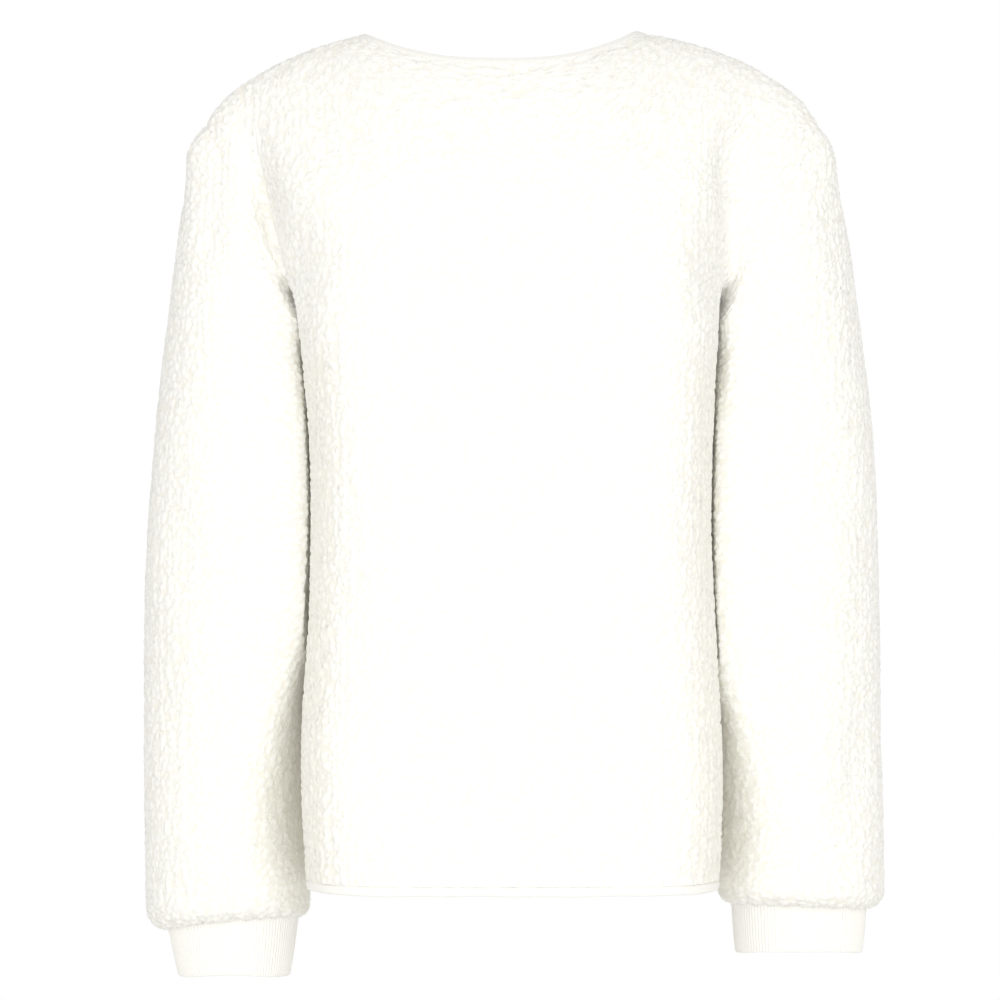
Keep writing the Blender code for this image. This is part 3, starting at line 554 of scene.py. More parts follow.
def key_lines(side, sign, half):
    """The key lines of one half, as levels and (level, line, 3) points, with x counted outwards.

    Below the underarm they are shares of the level section, and above it the yoke's tables. The
    lines go on over the shoulder seam into the other half, so both halves meet in one curve.
    """
    seam_x = BODY["side"]
    z = BODY["z"][:, None] + np.zeros(6)
    if half == "back":
        x = SECTION["back_width"] * BODY["fold_" + side][:, None]
        y = FOLD_Y + SECTION["back_depth"] * (BODY["back"][:, None] - FOLD_Y)
        yoke_x = YOKE_BACK_LEFT_X if side == "left" else YOKE_BACK_RIGHT_X
        yoke_y = YOKE_BACK_LEFT_Y if side == "left" else YOKE_BACK_RIGHT_Y
        names = "neck blade fold valley crest".split()
        start_z, fall = YOKE_HEIGHTS["back_centre"], BACK_FALL
        steps = YOKE_HEIGHTS["level"]
    else:
        x = FRONT_EDGE + SECTION["front_width"] * (seam_x[:, None] - FRONT_EDGE)
        y = SIDE_Y + SECTION["front_depth"] * (BODY["front"][:, None] - SIDE_Y)
        yoke_x, yoke_y = YOKE_FRONT_X, YOKE_FRONT_Y
        names = "edge chest fold valley crest".split()
        start_z, fall = YOKE_HEIGHTS["front_edge"], FRONT_FALL
        steps = 2 - YOKE_HEIGHTS["level"]
    x[:, -1] = seam_x
    y[:, -1] = SIDE_Y
    lower = np.stack([x, y, z], axis=2)
    seam = armhole(side, steps)
    yoke = np.empty((3, 6, 3))
    for k, name in enumerate(names):
        yoke[:, k, 0] = yoke_x[name]
        yoke[:, k, 1] = yoke_y[name]
        yoke[:, k, 2] = start_z + fall[k] * (seam[:, 2] - start_z)
    yoke[:, 5] = seam
    if half == "front":
        yoke[:, 0, 0] = front_edge_x(YOKE_HEIGHTS["level"], sign)
    level = np.r_[(BODY["z"] - UNDERARM_Z) / LEVEL_LENGTH, YOKE_HEIGHTS["level"]]
    return level, np.vstack([lower, yoke])


def lengthwise(side, sign, half, rows):
    """The key lines of one half read at the panel's rows, with its seams put in exactly."""
    level, own = key_lines(side, sign, half)
    other_level, other = key_lines(side, sign, "front" if half == "back" else "back")
    over = other_level > 0
    top = shoulder_seam(sign)[np.array(SHOULDER_KEYS) * SHOULDER_FINE // SHOULDER_COLUMNS]
    knots = np.r_[level, 1.0, 2 - other_level[over][::-1]]
    points = np.concatenate([own, top[None], other[over][::-1]])
    lines = spline(knots, points, rows)
    below = rows < 0
    lines[below, 5] = side_seam(UNDERARM_Z + LEVEL_LENGTH * rows[below])
    steps = rows if half == "back" else 2 - rows
    lines[~below, 5] = armhole(side, steps[~below])
    if half == "front":
        lines[:, 0, 0] = front_edge_x(rows, sign)
    return lines


def settle_top(grid, top, rows):
    """Moves a grid's last row onto its true edge, and the rows below it by less and more evenly."""
    settled = grid.copy()
    off = top - grid[-1]
    for k in range(1, 1 + np.count_nonzero(rows > SETTLE_LEVEL)):
        share = smooth((rows[-k] - SETTLE_LEVEL) / (1 - SETTLE_LEVEL))
        settled[-k] += share * off
        off = evened(off, SETTLE_EVENING)
    return settled


def back_panel(rows):
    """The back as one grid, from the right side seam to the left one."""
    halves = {side: lengthwise(side, sign, "back", rows) for side, sign in SIDES}
    left = halves["left"]
    right = halves["right"][:, ::-1] * (-1, 1, 1)
    level = np.r_[(BODY["z"] - UNDERARM_Z) / LEVEL_LENGTH, YOKE_HEIGHTS["level"], 1.0]
    middle = back_neck([0])[0]
    centre_x = np.r_[np.zeros(len(BODY["z"])), YOKE_HEIGHTS["centre_x"], middle[0]]
    centre_y = np.r_[BODY["back"], YOKE_BACK_LEFT_Y["centre"], middle[1]]
    centre_z = np.r_[BODY["z"], YOKE_HEIGHTS["back_centre"], middle[2]]
    centre = spline(level, np.stack([centre_x, centre_y, centre_z], axis=1), rows)
    keys = np.concatenate([right, centre[:, None], left], axis=1)
    half = [NECK_COLUMNS + key for key in SHOULDER_KEYS]
    knots = [-key for key in half[::-1]] + [0] + half
    neck_at = np.linspace(-NECK_COLUMNS, NECK_COLUMNS, 2 * NECK_FINE + 1)
    outer_at = NECK_COLUMNS + np.linspace(0, SHOULDER_COLUMNS, SHOULDER_FINE + 1)[1:]
    columns = np.r_[-outer_at[::-1], neck_at, outer_at]
    grid = spline(knots, keys.swapaxes(0, 1), columns).swapaxes(0, 1)
    neck = back_neck(neck_at)
    shoulders = [shoulder_seam(sign)[1:] * (sign, 1, 1) for _, sign in SIDES]
    top = np.vstack([shoulders[1][::-1], neck, shoulders[0]])
    return settle_top(grid, top, rows)


def front_panel(side, sign, rows):
    """A front as one grid, from its front edge to its side seam."""
    lines = lengthwise(side, sign, "front", rows)
    columns = np.linspace(0, SHOULDER_COLUMNS, SHOULDER_FINE + 1)
    grid = spline(SHOULDER_KEYS, lines.swapaxes(0, 1), columns).swapaxes(0, 1)
    grid = settle_top(grid, shoulder_seam(sign), rows)
    return grid * (sign, 1, 1)


def arm_point(side, turn, z):
    """A point of the sleeve's own form at height `z`: an ellipse, read at angle `turn`.

    Its inner side is pressed: moved away from the body towards the back, and in towards the front.
    """
    names = ("outer_" + side, "inner_" + side, "y", "depth", "press_" + side)
    sizes = [read(ARM, name, z.ravel()).reshape(z.shape) for name in names]
    outer, inner, centre_y, depth, press = sizes
    angle = np.radians(turn)
    x = 0.5 * (outer + inner) + 0.5 * (outer - inner) * np.cos(angle)
    x = x - press * np.sin(2 * angle) * (0.5 - 0.5 * np.cos(angle)) ** 2
    return np.stack([x, centre_y + depth * np.sin(angle), z], axis=-1)


def arm_fill(side, turn, seam_z, z):
    """How far the cloth is lifted towards the back and drawn in where it lies against the body.

    Both are the sine of the angle times the cube of its cosine, most at 150 degrees, between the
    back and the inner side, from a little below the seam down to where the gap opens.
    """
    angle = np.radians(turn)
    corner = np.clip(np.sin(angle), 0, None) * np.clip(-np.cos(angle), 0, None) ** 3 / CORNER_PEAK
    lift = smooth((seam_z - z) / ARM_FILL_REACH) * (1 - smooth((ARM_FILL_END - z) / ARM_FILL_FADE))
    draw = smooth((ARM_DRAW_START - z) / ARM_DRAW_FADE)
    draw = draw * (1 - smooth((ARM_DRAW_END[side] - z) / ARM_DRAW_FADE))
    return ARM_FILL * corner * lift, ARM_DRAW * corner * draw


def body_side(side, points):
    """How far out the body stands beside each point: from its side seam to its widest line."""
    z = points[..., 2]
    fold = read(BODY, "fold_" + side, z.ravel()).reshape(z.shape)
    seam = read(BODY, "side", z.ravel()).reshape(z.shape)
    return seam + (fold - seam) * smooth((points[..., 1] - SIDE_Y) / (FOLD_Y - SIDE_Y))


def sleeve_steps(rows):
    """Steps once round the armhole, up the back and down the front, on the panels' rows."""
    yoke = rows[rows >= 0]
    return np.r_[yoke, 2 - yoke[::-1][1:-1]]


def sleeve_panel(side, sign, rows):
    """A sleeve as rings: slanted from the armhole, then level, then rolled in over the cuff.

    Each point is an ellipse's point at its own height. Near the armhole the seam's difference
    from the ellipse is added with a share that fades, and the last rings lean with the cuff and
    close on it by the cosine of the roll's angle.
    """
    steps = sleeve_steps(rows)
    seam = armhole(side, steps)
    turn = armhole_turn(steps)
    cuff = cuff_row(sign)
    roll_start = cuff["sleeve_end"] + SLEEVE_ROLL
    step = np.linspace(0, 1, SLANTED_RINGS + 1)[:, None]
    share = 0.75 * step + 0.25 * step**2
    slanted = seam[:, 2] * (1 - share) + LEVEL_RING_Z * share
    level = np.linspace(LEVEL_RING_Z, roll_start, LEVEL_RINGS + 1)[1:, None]
    z = np.vstack([slanted, level + np.zeros(len(turn))])
    body = arm_point(side, turn, z)
    start = arm_point(side, turn, seam[None, :, 2])[0]
    hold = smooth(1 - (seam[:, 2] - z) / SEAM_REACH)
    body = body + hold[:, :, None] * (seam - start)
    lift, draw = arm_fill(side, turn, seam[:, 2], z)
    body[:, :, 1] += lift
    beside = body_side(side, body) + ARM_CLEAR
    body[:, :, 0] = np.minimum(body[:, :, 0], np.maximum(body[:, :, 0] - draw, beside))
    body[:, :, 2] += smooth((LEAN_Z - z) / (LEAN_Z - roll_start)) * lean(cuff, turn)

    roll = np.linspace(0, 0.5 * np.pi, ROLL_RINGS + 1)[1:, None]
    roll_z = cuff["sleeve_end"] + SLEEVE_ROLL * (1 - np.sin(roll)) + np.zeros(len(turn))
    wide = arm_point(side, turn, roll_z)
    mouth = cuff_ring(sign, turn, 0.0, -MOUTH_EASE)
    rolled = mouth + (wide - mouth) * np.cos(roll)[:, :, None]
    rolled[:, :, 2] = roll_z + lean(cuff, turn)
    grid = np.concatenate([body, rolled])
    return grid * (sign, 1, 1)


def cuff_row(sign):
    """The left or right row of the cuffs' table, by name."""
    return {name: CUFF[name][0 if sign > 0 else 1] for name in CUFF}


def lean(cuff, turn):
    """How far the end of a sleeve leaves its level, round the cuff."""
    return cuff["rise"] * np.sin(np.radians(turn)) - cuff["drop"] * np.cos(np.radians(turn))


def cuff_ring(sign, turn, share, inset):
    """A level ring of a cuff, `share` of the way down, with x counted outwards."""
    cuff = cuff_row(sign)
    angle = np.radians(turn)
    centre = cuff["centre_top"] + share * (cuff["centre_bottom"] - cuff["centre_top"])
    half = cuff["half_top"] + share * (cuff["half_bottom"] - cuff["half_top"])
    depth = CUFF_DEPTH_TOP + share * (CUFF_DEPTH_BOTTOM - CUFF_DEPTH_TOP)
    x = centre + (half - inset) * np.cos(angle)
    y = CUFF_Y + (depth - inset) * np.sin(angle)
    z = cuff["sleeve_end"] + share * (cuff["bottom"] - cuff["sleeve_end"])
    return np.stack([x, y, z + (1 - share) * lean(cuff, turn)], axis=-1)


def grid_normals(grid, closed):
    """Unit normals of a grid, from its rows crossed with its columns."""
    along = np.gradient(grid, axis=0)
    if closed:
        across = np.roll(grid, -1, axis=1) - np.roll(grid, 1, axis=1)
    else:
        across = np.gradient(grid, axis=1)
    return unit(np.cross(across, along))


# The pile and the creases


def evened(points, times, axis=0):
    """Averages each point with its two neighbours along an axis, again and again, ends held."""
    points = np.moveaxis(points.copy(), axis, 0)
    for _ in range(times):
        points[1:-1] = 0.25 * points[:-2] + 0.5 * points[1:-1] + 0.25 * points[2:]
    return np.moveaxis(points, 0, axis)


def scatter(cell, lane):
    """A random share for each cell of a lattice: its three whole numbers, mixed by odd factors."""
    mixed = cell @ np.array(CELL_FACTORS) + lane * LANE_FACTOR
    for _ in range(2):
        mixed = mixed & LOW_BITS
        mixed = (mixed ^ (mixed >> 16)) * MIX_FACTOR
    mixed = mixed & LOW_BITS
    return (mixed ^ (mixed >> 16)) / (LOW_BITS + 1)


def swelling(points, size, lane):
    """Smooth random hills from -1 to 1: the eight corners of a lattice cell, blended smoothly."""
    at = points / size
    base = np.floor(at).astype(np.int64)
    within = smooth(at - base)
    total = np.zeros(len(points))
    for corner in np.ndindex(2, 2, 2):
        weight = np.prod(np.where(np.array(corner), within, 1 - within), axis=1)
        total += weight * scatter(base + np.array(corner), lane)
    return 2 * total - 1


def curls(points):
    """The pile: 1 on a nub's crown, 0 in the hollows between nubs.

    One seed is scattered in each cell of a lattice. The nubs are the regions nearest to each
    seed, rounded towards their crowns, with a hollow where the two nearest are equally far.
    """
    bent = points + CURL_WANDER * np.sin(points[:, [1, 2, 0]] * CURL_WAVES)
    at = bent / CURL
    base = np.floor(at).astype(np.int64)
    first = np.full(len(at), 9.0)
    second = np.full(len(at), 9.0)
    own = np.zeros(len(at))
    for offset in np.ndindex(3, 3, 3):
        cell = base + np.array(offset) - 1
        seed = np.stack([scatter(cell, lane) for lane in (1, 2, 3)], axis=1)
        away = np.linalg.norm(cell + SEED_MARGIN + (1 - 2 * SEED_MARGIN) * seed - at, axis=1)
        nearer = away < first
        second = np.where(nearer, first, np.minimum(second, away))
        own = np.where(nearer, scatter(cell, 4), own)
        first = np.where(nearer, away, first)
    rise = smooth((second - first) / HOLLOW)
    crown = 1 - np.clip(first / CROWN, 0, 1) ** 2
    return rise * (0.5 + 0.35 * crown + 0.15 * own)


def crease(grid, normal):
    """Moves the cloth along its normal near each fold and crease, by a bell across the line.

    A fold is a line in space. A crease is drawn in x and z on the back or on the front, and its
    push is also shared out by how squarely the cloth faces that way. Both fade at their ends.
    """
    moved = grid.copy()
    for row in zip(*FOLDS.values()):
        start, end = np.array(row[0:3]), np.array(row[3:6])
        width, push = row[6:]
        along, off = beside(grid, start, end)
        moved += (push * np.exp(-((off / width) ** 2)) * np.sin(np.pi * along))[..., None] * normal
    for x1, z1, x2, z2, width, push, face in zip(*CREASES.values()):
        along, off = beside(grid[..., [0, 2]], np.array((x1, z1)), np.array((x2, z2)))
        seen = smooth(face * normal[..., 1] * CREASE_TURN)
        bell = push * np.exp(-((off / width) ** 2)) * np.sin(np.pi * along) ** CREASE_TAPER
        moved += (bell * seen)[..., None] * normal
    return moved


def beside(points, start, end):
    """For each point, how far along a line it is, from 0 to 1, and its distance from the line."""
    line = end - start
    along = np.clip((points - start) @ line / (line @ line), 0, 1)
    off = np.linalg.norm(points - start - along[..., None] * line, axis=-1)
    return along, off


def gathers(turn, run):
    """Uneven small waves round the end of a sleeve, where it is eased into its cuff."""
    angle = np.radians(turn)
    waver = 1.9 * np.sin(2 * angle + 0.8) + 1.2 * np.sin(5 * angle + 2.1)
    wave = np.sin(GATHERS * angle + waver)
    depth = 0.75 + 0.25 * np.sin(3 * angle + 1.3)
    return GATHER_DEPTH * depth * wave * smooth(1 - run / GATHER_REACH)


# Walls


def seams(arrays):
    """Views of two panels' arrays along each seam, in pairs that run the same way."""
    back = arrays["back"]
    shoulder = SHOULDER_FINE + 1
    under = LOWER_ROWS
    for side, sign in SIDES:
        front = arrays["front_" + side]
        sleeve = arrays["sleeve_" + side]
        edge = back[:, -1] if sign > 0 else back[:, 0]
        yield (back[-1, -shoulder:] if sign > 0 else back[-1, shoulder - 1 :: -1]), front[-1]
        yield edge[: under + 1], front[: under + 1, -1]
        yield edge[under:], sleeve[0, : YOKE_ROWS + 1]
        yield front[:under:-1, -1], sleeve[0, YOKE_ROWS:]


def join_normals(normals):
    """Gives both sides of each seam the mean of their normals, repeated where seams meet."""
    for _ in range(4):
        for one, other in seams(normals):
            mean = unit(one + other)
            one[:] = mean
            other[:] = mean


def neck_run(arrays):
    """Views of the neck and front edge: up the left front, round the neck, down the right front."""
    return (
        arrays["front_left"][:, 0],
        arrays["back"][-1, NECK][::-1],
        arrays["front_right"][::-1, 0],
    )


def hem_run(arrays):
    """Views of the hem, from the right front edge round the back to the left front edge."""
    return (arrays["front_right"][0], arrays["back"][0, 1:], arrays["front_left"][0, -2::-1])


def turn_walls(grids, inward):
    """Turns the wall at its edges.

    It turns into the shoulder at the armholes, evenly round the neck, and upwards in the rolled
    end of each sleeve.
    """
    yoke = slice(LOWER_ROWS, None)
    for side, sign in SIDES:
        target = np.array(ARMHOLE_INSIDE) * (sign, 1, 1)
        sleeve = "sleeve_" + side
        inward[sleeve][0] = unit(target - grids[sleeve][0])
        for name, edge, step in (("back", -1 if sign > 0 else 0, -sign), ("front_" + side, -1, -1)):
            turned = unit(target - grids[name][yoke, edge])
            inward[name][yoke, edge] = turned
            for near, share in enumerate(ARMHOLE_EASE, start=1):
                column = edge + int(near * step * WALL_STEP)
                own = inward[name][yoke, column]
                inward[name][yoke, column] = unit(share * turned + (1 - share) * own)
        angle = np.linspace(0, 90, ROLL_RINGS + 1)[:, None, None]
        up = smooth((angle - ROLL_TURN) / (90 - ROLL_TURN)) * (0, 0, 1)
        own = inward[sleeve][-ROLL_RINGS - 1 :]
        inward[sleeve][-ROLL_RINGS - 1 :] = unit((1 - up[..., 2:]) * own + up)

    tangent = unit(np.gradient(np.vstack(neck_run(grids)), axis=0))
    turned = evened(np.vstack(neck_run(inward)), NECK_EVENING)
    turned = unit(turned - np.sum(turned * tangent, axis=1, keepdims=True) * tangent)
    start = 0
    for view in neck_run(inward):
        view[:] = turned[start : start + len(view)]
        start += len(view)
    inward["back"][-1, SHOULDER_FINE] = inward["front_right"][-1, 0]
    inward["back"][-1, -SHOULDER_FINE - 1] = inward["front_left"][-1, 0]


def seam_distance(name, grid):
    """How far each point of a panel is from its nearest seam. The neck and hem aren't seams."""
    down = run_of(grid)
    if name.startswith("sleeve"):
        return down
    across = run_of(grid, axis=1)
    top = down[-1] - down
    side = across[:, -1:] - across
    if name == "back":
        top[:, NECK] = np.inf
        side = np.minimum(across, side)
    return np.minimum(top, side)


def fleece_face(name, grid, normal):
    """The outer face of a panel and its pile: the grid, lowered between the nubs and at seams."""
    points = grid.reshape(-1, 3)
    pile = curls(points).reshape(grid.shape[:2])
    tufts = swelling(points, TUFT_SIZE, TUFT_LANE).reshape(grid.shape[:2])
    depth = PILE_DEPTH * (1 - pile) + TUFT_DEPTH * (1 + tufts)
    depth += EDGE_DEPTH * (1 - smooth(seam_distance(name, grid) / EDGE_REACH))
    # Painted shade between sleeves and body: the colour mark is lowered where they face each other
    pile = pile * (1 - (1 - SIDE_SHADE_PILE) * painted_side_shade(name, grid, normal))
    return grid - depth[..., None] * normal, pile


def painted_side_shade(name, grid, normal):
    """Where shade is painted: 1 where the sleeves and the sides of the body face each other, and 0
    elsewhere.
    """
    facing = np.sign(grid[..., 0]) * normal[..., 0]
    share = smooth((SIDE_SHADE_FROM - grid[..., 2]) / SIDE_SHADE_FADE)
    if name.startswith("sleeve"):
        facing = -facing
    else:
        share = share * smooth((np.abs(grid[..., 0]) - SIDE_SHADE_X) / SIDE_SHADE_X_FADE)
    return smooth((facing - SIDE_SHADE_TURN) / SIDE_SHADE_TURN_FADE) * share


def quads(index):
    """The four corners of each face of a grid of point numbers."""
    corners = (index[:-1, :-1], index[:-1, 1:], index[1:, 1:], index[1:, :-1])
    return np.stack(corners, axis=-1).reshape(-1, 4)


def numbered(shape, start=0):
    """A grid of point numbers, in order."""
    return start + np.arange(shape[0] * shape[1]).reshape(shape)


def wrapped(index):
    """A grid of point numbers with its first column again after its last one."""
    return np.hstack([index, index[:, :1]])


def strip(rim, lip):
    """Faces between two closed runs of point numbers."""
    return np.stack([np.roll(rim, -1), rim, lip, np.roll(lip, -1)], axis=1)


def fans(lip, ring):
    """One face for each step of the coarse ring, with all the fine lip points along it."""
    faces = []
    for k in range(len(ring)):
        fine = [int(lip[(WALL_STEP * k + j) % len(lip)]) for j in range(WALL_STEP, -1, -1)]
        faces.append(fine + [int(ring[k]), int(ring[(k + 1) % len(ring)])])
    return faces


def border(index):
    """The point numbers once round the edge of a grid."""
    return np.r_[index[0, :-1], index[:-1, -1], index[-1, :0:-1], index[:0:-1, 0]]


def fleece_wall(name, grid, face, pile, inward, shift):
    """A closed wall: its fleece face, a lip along each rim, and the coarser ground behind.

    A panel has one rim all round it. A sleeve is a tube with a rim at each end.
    """
    index = numbered(pile.shape)
    picked = np.arange(0, len(grid), WALL_STEP)
    rims = [border(index)]
    if name.startswith("sleeve"):
        straight = len(grid) - ROLL_RINGS - 1
        picked = np.r_[0:straight:WALL_STEP, straight : len(grid) : ROLL_RINGS // 4]
        rims = [index[0], index[-1]]
    rim = np.concatenate(rims)
    lip = index.size + np.arange(len(rim))
    wall = (grid + FLEECE * inward)[picked][:, ::WALL_STEP]
    ground = numbered(wall.shape[:2], index.size + len(rim))
    lip_points = (face + LIP_DEPTH * inward).reshape(-1, 3)[rim]
    points = np.vstack([(face + shift).reshape(-1, 3), lip_points, wall.reshape(-1, 3)])
    # The lip's lower mark paints shade over each rim
    marks = np.r_[pile.ravel(), LIP_PILE_SHADE * pile.ravel()[rim], np.zeros(ground.size)]
    if len(rims) == 1:
        strips = [strip(rim, lip)]
        fan = fans(lip, border(ground))
    else:
        first, last = np.split(lip, 2)
        strips = [strip(index[0], first), strip(index[-1], last)[:, ::-1]]
        fan = fans(first, ground[0]) + [corners[::-1] for corners in fans(last, ground[-1])]
        index, ground = wrapped(index), wrapped(ground)
    groups = [quads(index), *strips, quads(ground)[:, ::-1]]
    if name == "sleeve_right":
        groups = [rows[:, ::-1] for rows in groups]
        fan = [corners[::-1] for corners in fan]
    return make_fleece(name, points, groups, fan, marks, rim)


def edge_shift(edge, neighbours, inward, pull, closed=False):
    """The shift of an edge into its panel by `pull`, square to the edge and to its wall."""
    if closed:
        tangent = np.roll(edge, -1, axis=0) - np.roll(edge, 1, axis=0)
    else:
        tangent = np.gradient(edge, axis=0)
    way = unit(np.cross(unit(tangent), inward))
    side = np.sign(np.sum(way * (neighbours - edge)))
    return pull * side * way


def panel_shift(name, grid, inward):
    """Half a seam gap inwards along the seams, and a little out over the binding elsewhere."""
    shift = np.zeros_like(grid)
    seam, over = 0.5 * SEAM_GAP, -OVERHANG
    top = np.full((grid.shape[1], 1), seam)
    if name == "back":
        top[NECK] = over
    first = seam if name == "back" else over
    shift[0] += edge_shift(grid[0], grid[1], inward[0], over)
    shift[-1] += edge_shift(grid[-1], grid[-2], inward[-1], top)
    shift[:, 0] += edge_shift(grid[:, 0], grid[:, 1], inward[:, 0], first)
    shift[:, -1] += edge_shift(grid[:, -1], grid[:, -2], inward[:, -1], seam)
    return shift


# Cuffs and bindings


def cuff_tube(side, sign):
    """A doubled rib tube: down its face, round the fold and up its inside, closed at the top.

    The face is an ellipse at every height. A cosine with one wave a rib lifts the ribs, which
    soften at the fold, and the inside has the same ribs half a wave on. Slow sines round the
    tube leave it a little slack, and quick ones pucker it at its seam.
    """
    cuff = cuff_row(sign)
    length = cuff["sleeve_end"] - cuff["bottom"]
    around = RIBS * RIB_POINTS
    turn = np.arange(around) * 360.0 / around
    angle = np.radians(turn)
    wave = 0.5 + 0.5 * np.cos(angle * RIBS)
    round_fold = 0.5 * CUFF_WALL / length
    fold = np.linspace(0, np.pi, FOLD_POINTS)[1:-1]
    face = np.linspace(-CUFF_TUCK / length, 1 - round_fold, CUFF_FACE_POINTS)
    inside = face[::-CUFF_INSIDE_STEP]
    share = np.r_[face, 1 - round_fold + round_fold * np.sin(fold), inside][:, None]
    across = np.r_[0 * face, 0.5 - 0.5 * np.cos(fold), 0 * inside + 1][:, None]
    groove = (1 - wave**RIB_ROUNDNESS) * (1 - across) - (1 - (1 - wave) ** RIB_ROUNDNESS) * across
    fade = 1 - 0.45 * smooth((share - 0.9) / 0.1)
    slack = 0.35 * np.sin(3 * angle + sign) + 0.25 * np.sin(7 * angle + 2.0) * smooth(share)
    pucker = 0.3 * np.sin(31 * angle + 2 * np.sin(4 * angle)) * smooth(1 - share / 0.3)
    bulge = -0.5 * np.sin(np.pi * np.clip(share, 0, 1))
    inset = 0.5 * SEAM_GAP + CUFF_WALL * across + RIB_HEIGHT * groove * fade
    inset = inset + (0.3 * slack + pucker + bulge + 0.4) * smooth(share / 0.12)
    points = cuff_ring(sign, turn, share, inset) * (sign, 1, 1)
    points[..., 2] += 0.3 * smooth((share - 0.5) / 0.5) * np.sin(4 * angle + 1.7 * sign)
    points[..., 2] -= CUFF_SAG * smooth(share) * np.cos(angle) ** 2
    index = numbered(points.shape[:2])
    faces = quads(wrapped(np.vstack([index, index[:1]])))
    along = run_of(points[:, 0])[:, None]
    uv = np.stack(np.broadcast_arrays(turn / 360.0 * RIBS, along), axis=-1)
    groups = [faces if sign < 0 else faces[:, ::-1]]
    piece = make_trim("cuff_" + side + "_rib", points, groups, [], RIB)
    lay_out(piece.data, uv, wrap=float(RIBS))
    return piece


def binding(name, path, outwards, inward):
    """The binding's rounded section carried along an edge, and the places of its stitches.

    The section goes out along its face, round the fold by half an ellipse, and back. A groove
    lies under the stitches, and slow sines along the run make its width and height uneven.
    """
    run = run_of(path)
    at = np.arange(0, run[-1], BINDING_STEP)
    at[-1] = run[-1]
    path, across, into = (read_along(points, run, at) for points in (path, outwards, inward))
    bend = np.linspace(0, np.pi, 11)[1:-1]
    face = np.linspace(0, BINDING_FLAT, 13)
    behind = np.linspace(BINDING_FLAT, 0, 5)
    reach = np.r_[face, BINDING_FLAT + (1 - BINDING_FLAT) * np.sin(bend), behind]
    depth = np.r_[0 * face, 0.5 - 0.5 * np.cos(bend), 0 * behind + 1]
    front = 1 - depth
    from_fleece = reach * BAND_WIDTH
    groove = STITCH_GROOVE * np.exp(-(((from_fleece - STITCH_LINE) / 0.55) ** 2))
    sink = front * (BINDING_TUCK * (1 - smooth(reach / 0.3)) + groove - 0.3 * np.sin(np.pi * reach))
    slow = (0.22 * np.sin(at / 19.0 + 0.5) + 0.16 * np.sin(at / 7.3 + 1.9))[:, None]
    tight = np.exp(-(((from_fleece - STITCH_LINE) / 1.5) ** 2)) * front
    pucker = STITCH_PUCKER * tight * np.cos(2 * np.pi * at / STITCH_PITCH)[:, None]
    out = 0.5 * SEAM_GAP + from_fleece + reach * slow
    sunk = BAND_DEPTH + BAND_THICKNESS * depth + sink + pucker + 0.25 * (front * slow)
    points = path[:, None] + out[..., None] * unit(across)[:, None]
    points = points + sunk[..., None] * unit(into)[:, None]
    index = numbered(points.shape[:2])
    groups = [quads(wrapped(index))[:, ::-1]]
    ends = [index[0].tolist(), index[-1][::-1].tolist()]
    piece = make_trim(name + "_binding", points, groups, ends, JERSEY)
    lay_out(piece.data, np.stack(np.broadcast_arrays(at[:, None], from_fleece), axis=-1))

    starts = np.arange(STITCH_START, at[-1] - STITCH_START, STITCH_PITCH)
    centre, across, into = (read_along(points, at, starts) for points in (path, across, into))
    along = unit(np.gradient(centre, axis=0))
    centre = centre + (0.5 * SEAM_GAP + STITCH_LINE) * across + (BAND_DEPTH + STITCH_SINK) * into
    return piece, (centre, along, unit(across), unit(into))


def stitch_row(name, rows):
    """Short rounded stitches, each an ellipsoid that is longest along the seam."""
    ring = np.linspace(0, 2 * np.pi, STITCH_SIDES + 1)[:-1]
    slice_at = np.array(STITCH_SLICES)[:, None]
    radius = STITCH_RADIUS * np.sqrt(1 - slice_at**2)
    shape = (0.5 * STITCH_LENGTH * slice_at, radius * np.cos(ring), radius * np.sin(ring))
    shape = np.stack(np.broadcast_arrays(*shape), axis=-1)
    index = numbered(shape.shape[:2])
    centre, along, across, into = (np.vstack(group) for group in zip(*rows))
    axes = np.stack([along, across, into], axis=1)
    points = centre[:, None] + np.einsum("pk,nkd->npd", shape.reshape(-1, 3), axes)
    start = (np.arange(len(centre)) * index.size)[:, None, None]
    sides = (quads(wrapped(index))[:, ::-1] + start).reshape(-1, 4)
    caps = (np.stack([index[0], index[-1][::-1]]) + start).reshape(-1, STITCH_SIDES)
    return make_trim(name, points, [sides, caps], [], STITCH)


# Finishes


class Nodes:
    """A short way to add nodes to a tree and to feed them."""

    def __init__(self, tree):
        self.tree = tree

    def put(self, socket, value):
        """Links a socket to another one, or gives it a value of its own."""
        if isinstance(value, bpy.types.NodeSocket):
            self.tree.links.new(value, socket)
        else:
            socket.default_value = value

    def feed(self, node, **inputs):
        for name, value in inputs.items():
            self.put(node.inputs[name.replace("_", " ")], value)

    def add(self, kind, *values, **named):
        """A new node with its settings and inputs.

        Values in order and capital names are its inputs, and small names are its settings.
        """
        node = self.tree.nodes.new(kind)
        for name, value in named.items():
            if name[0].islower():
                setattr(node, name, value)
        for socket, value in zip(node.inputs, values):
            self.put(socket, value)
        self.feed(node, **{name: value for name, value in named.items() if name[0].isupper()})
        return node

    def math(self, operation, *values):
        return self.add("ShaderNodeMath", *values, operation=operation).outputs[0]

    def noise(self, place, scale, **inputs):
        return self.add("ShaderNodeTexNoise", Vector=place, Scale=scale, **inputs).outputs

    def bump(self, height, strength, distance, **inputs):
        inputs.update(Height=height, Strength=strength, Distance=distance)
        return self.add("ShaderNodeBump", **inputs).outputs[0]

    def blend(self, share, first, second):
        """The colour that lies a share of the way from the first to the second."""
        node = self.add("ShaderNodeMix", share, data_type="RGBA")
        self.put(node.inputs[6], first)
        self.put(node.inputs[7], second)
        return node.outputs[2]

    def place(self, tree, **inputs):
        """The first output of a node group placed in this tree."""
        return self.add("ShaderNodeGroup", node_tree=tree, **inputs).outputs[0]


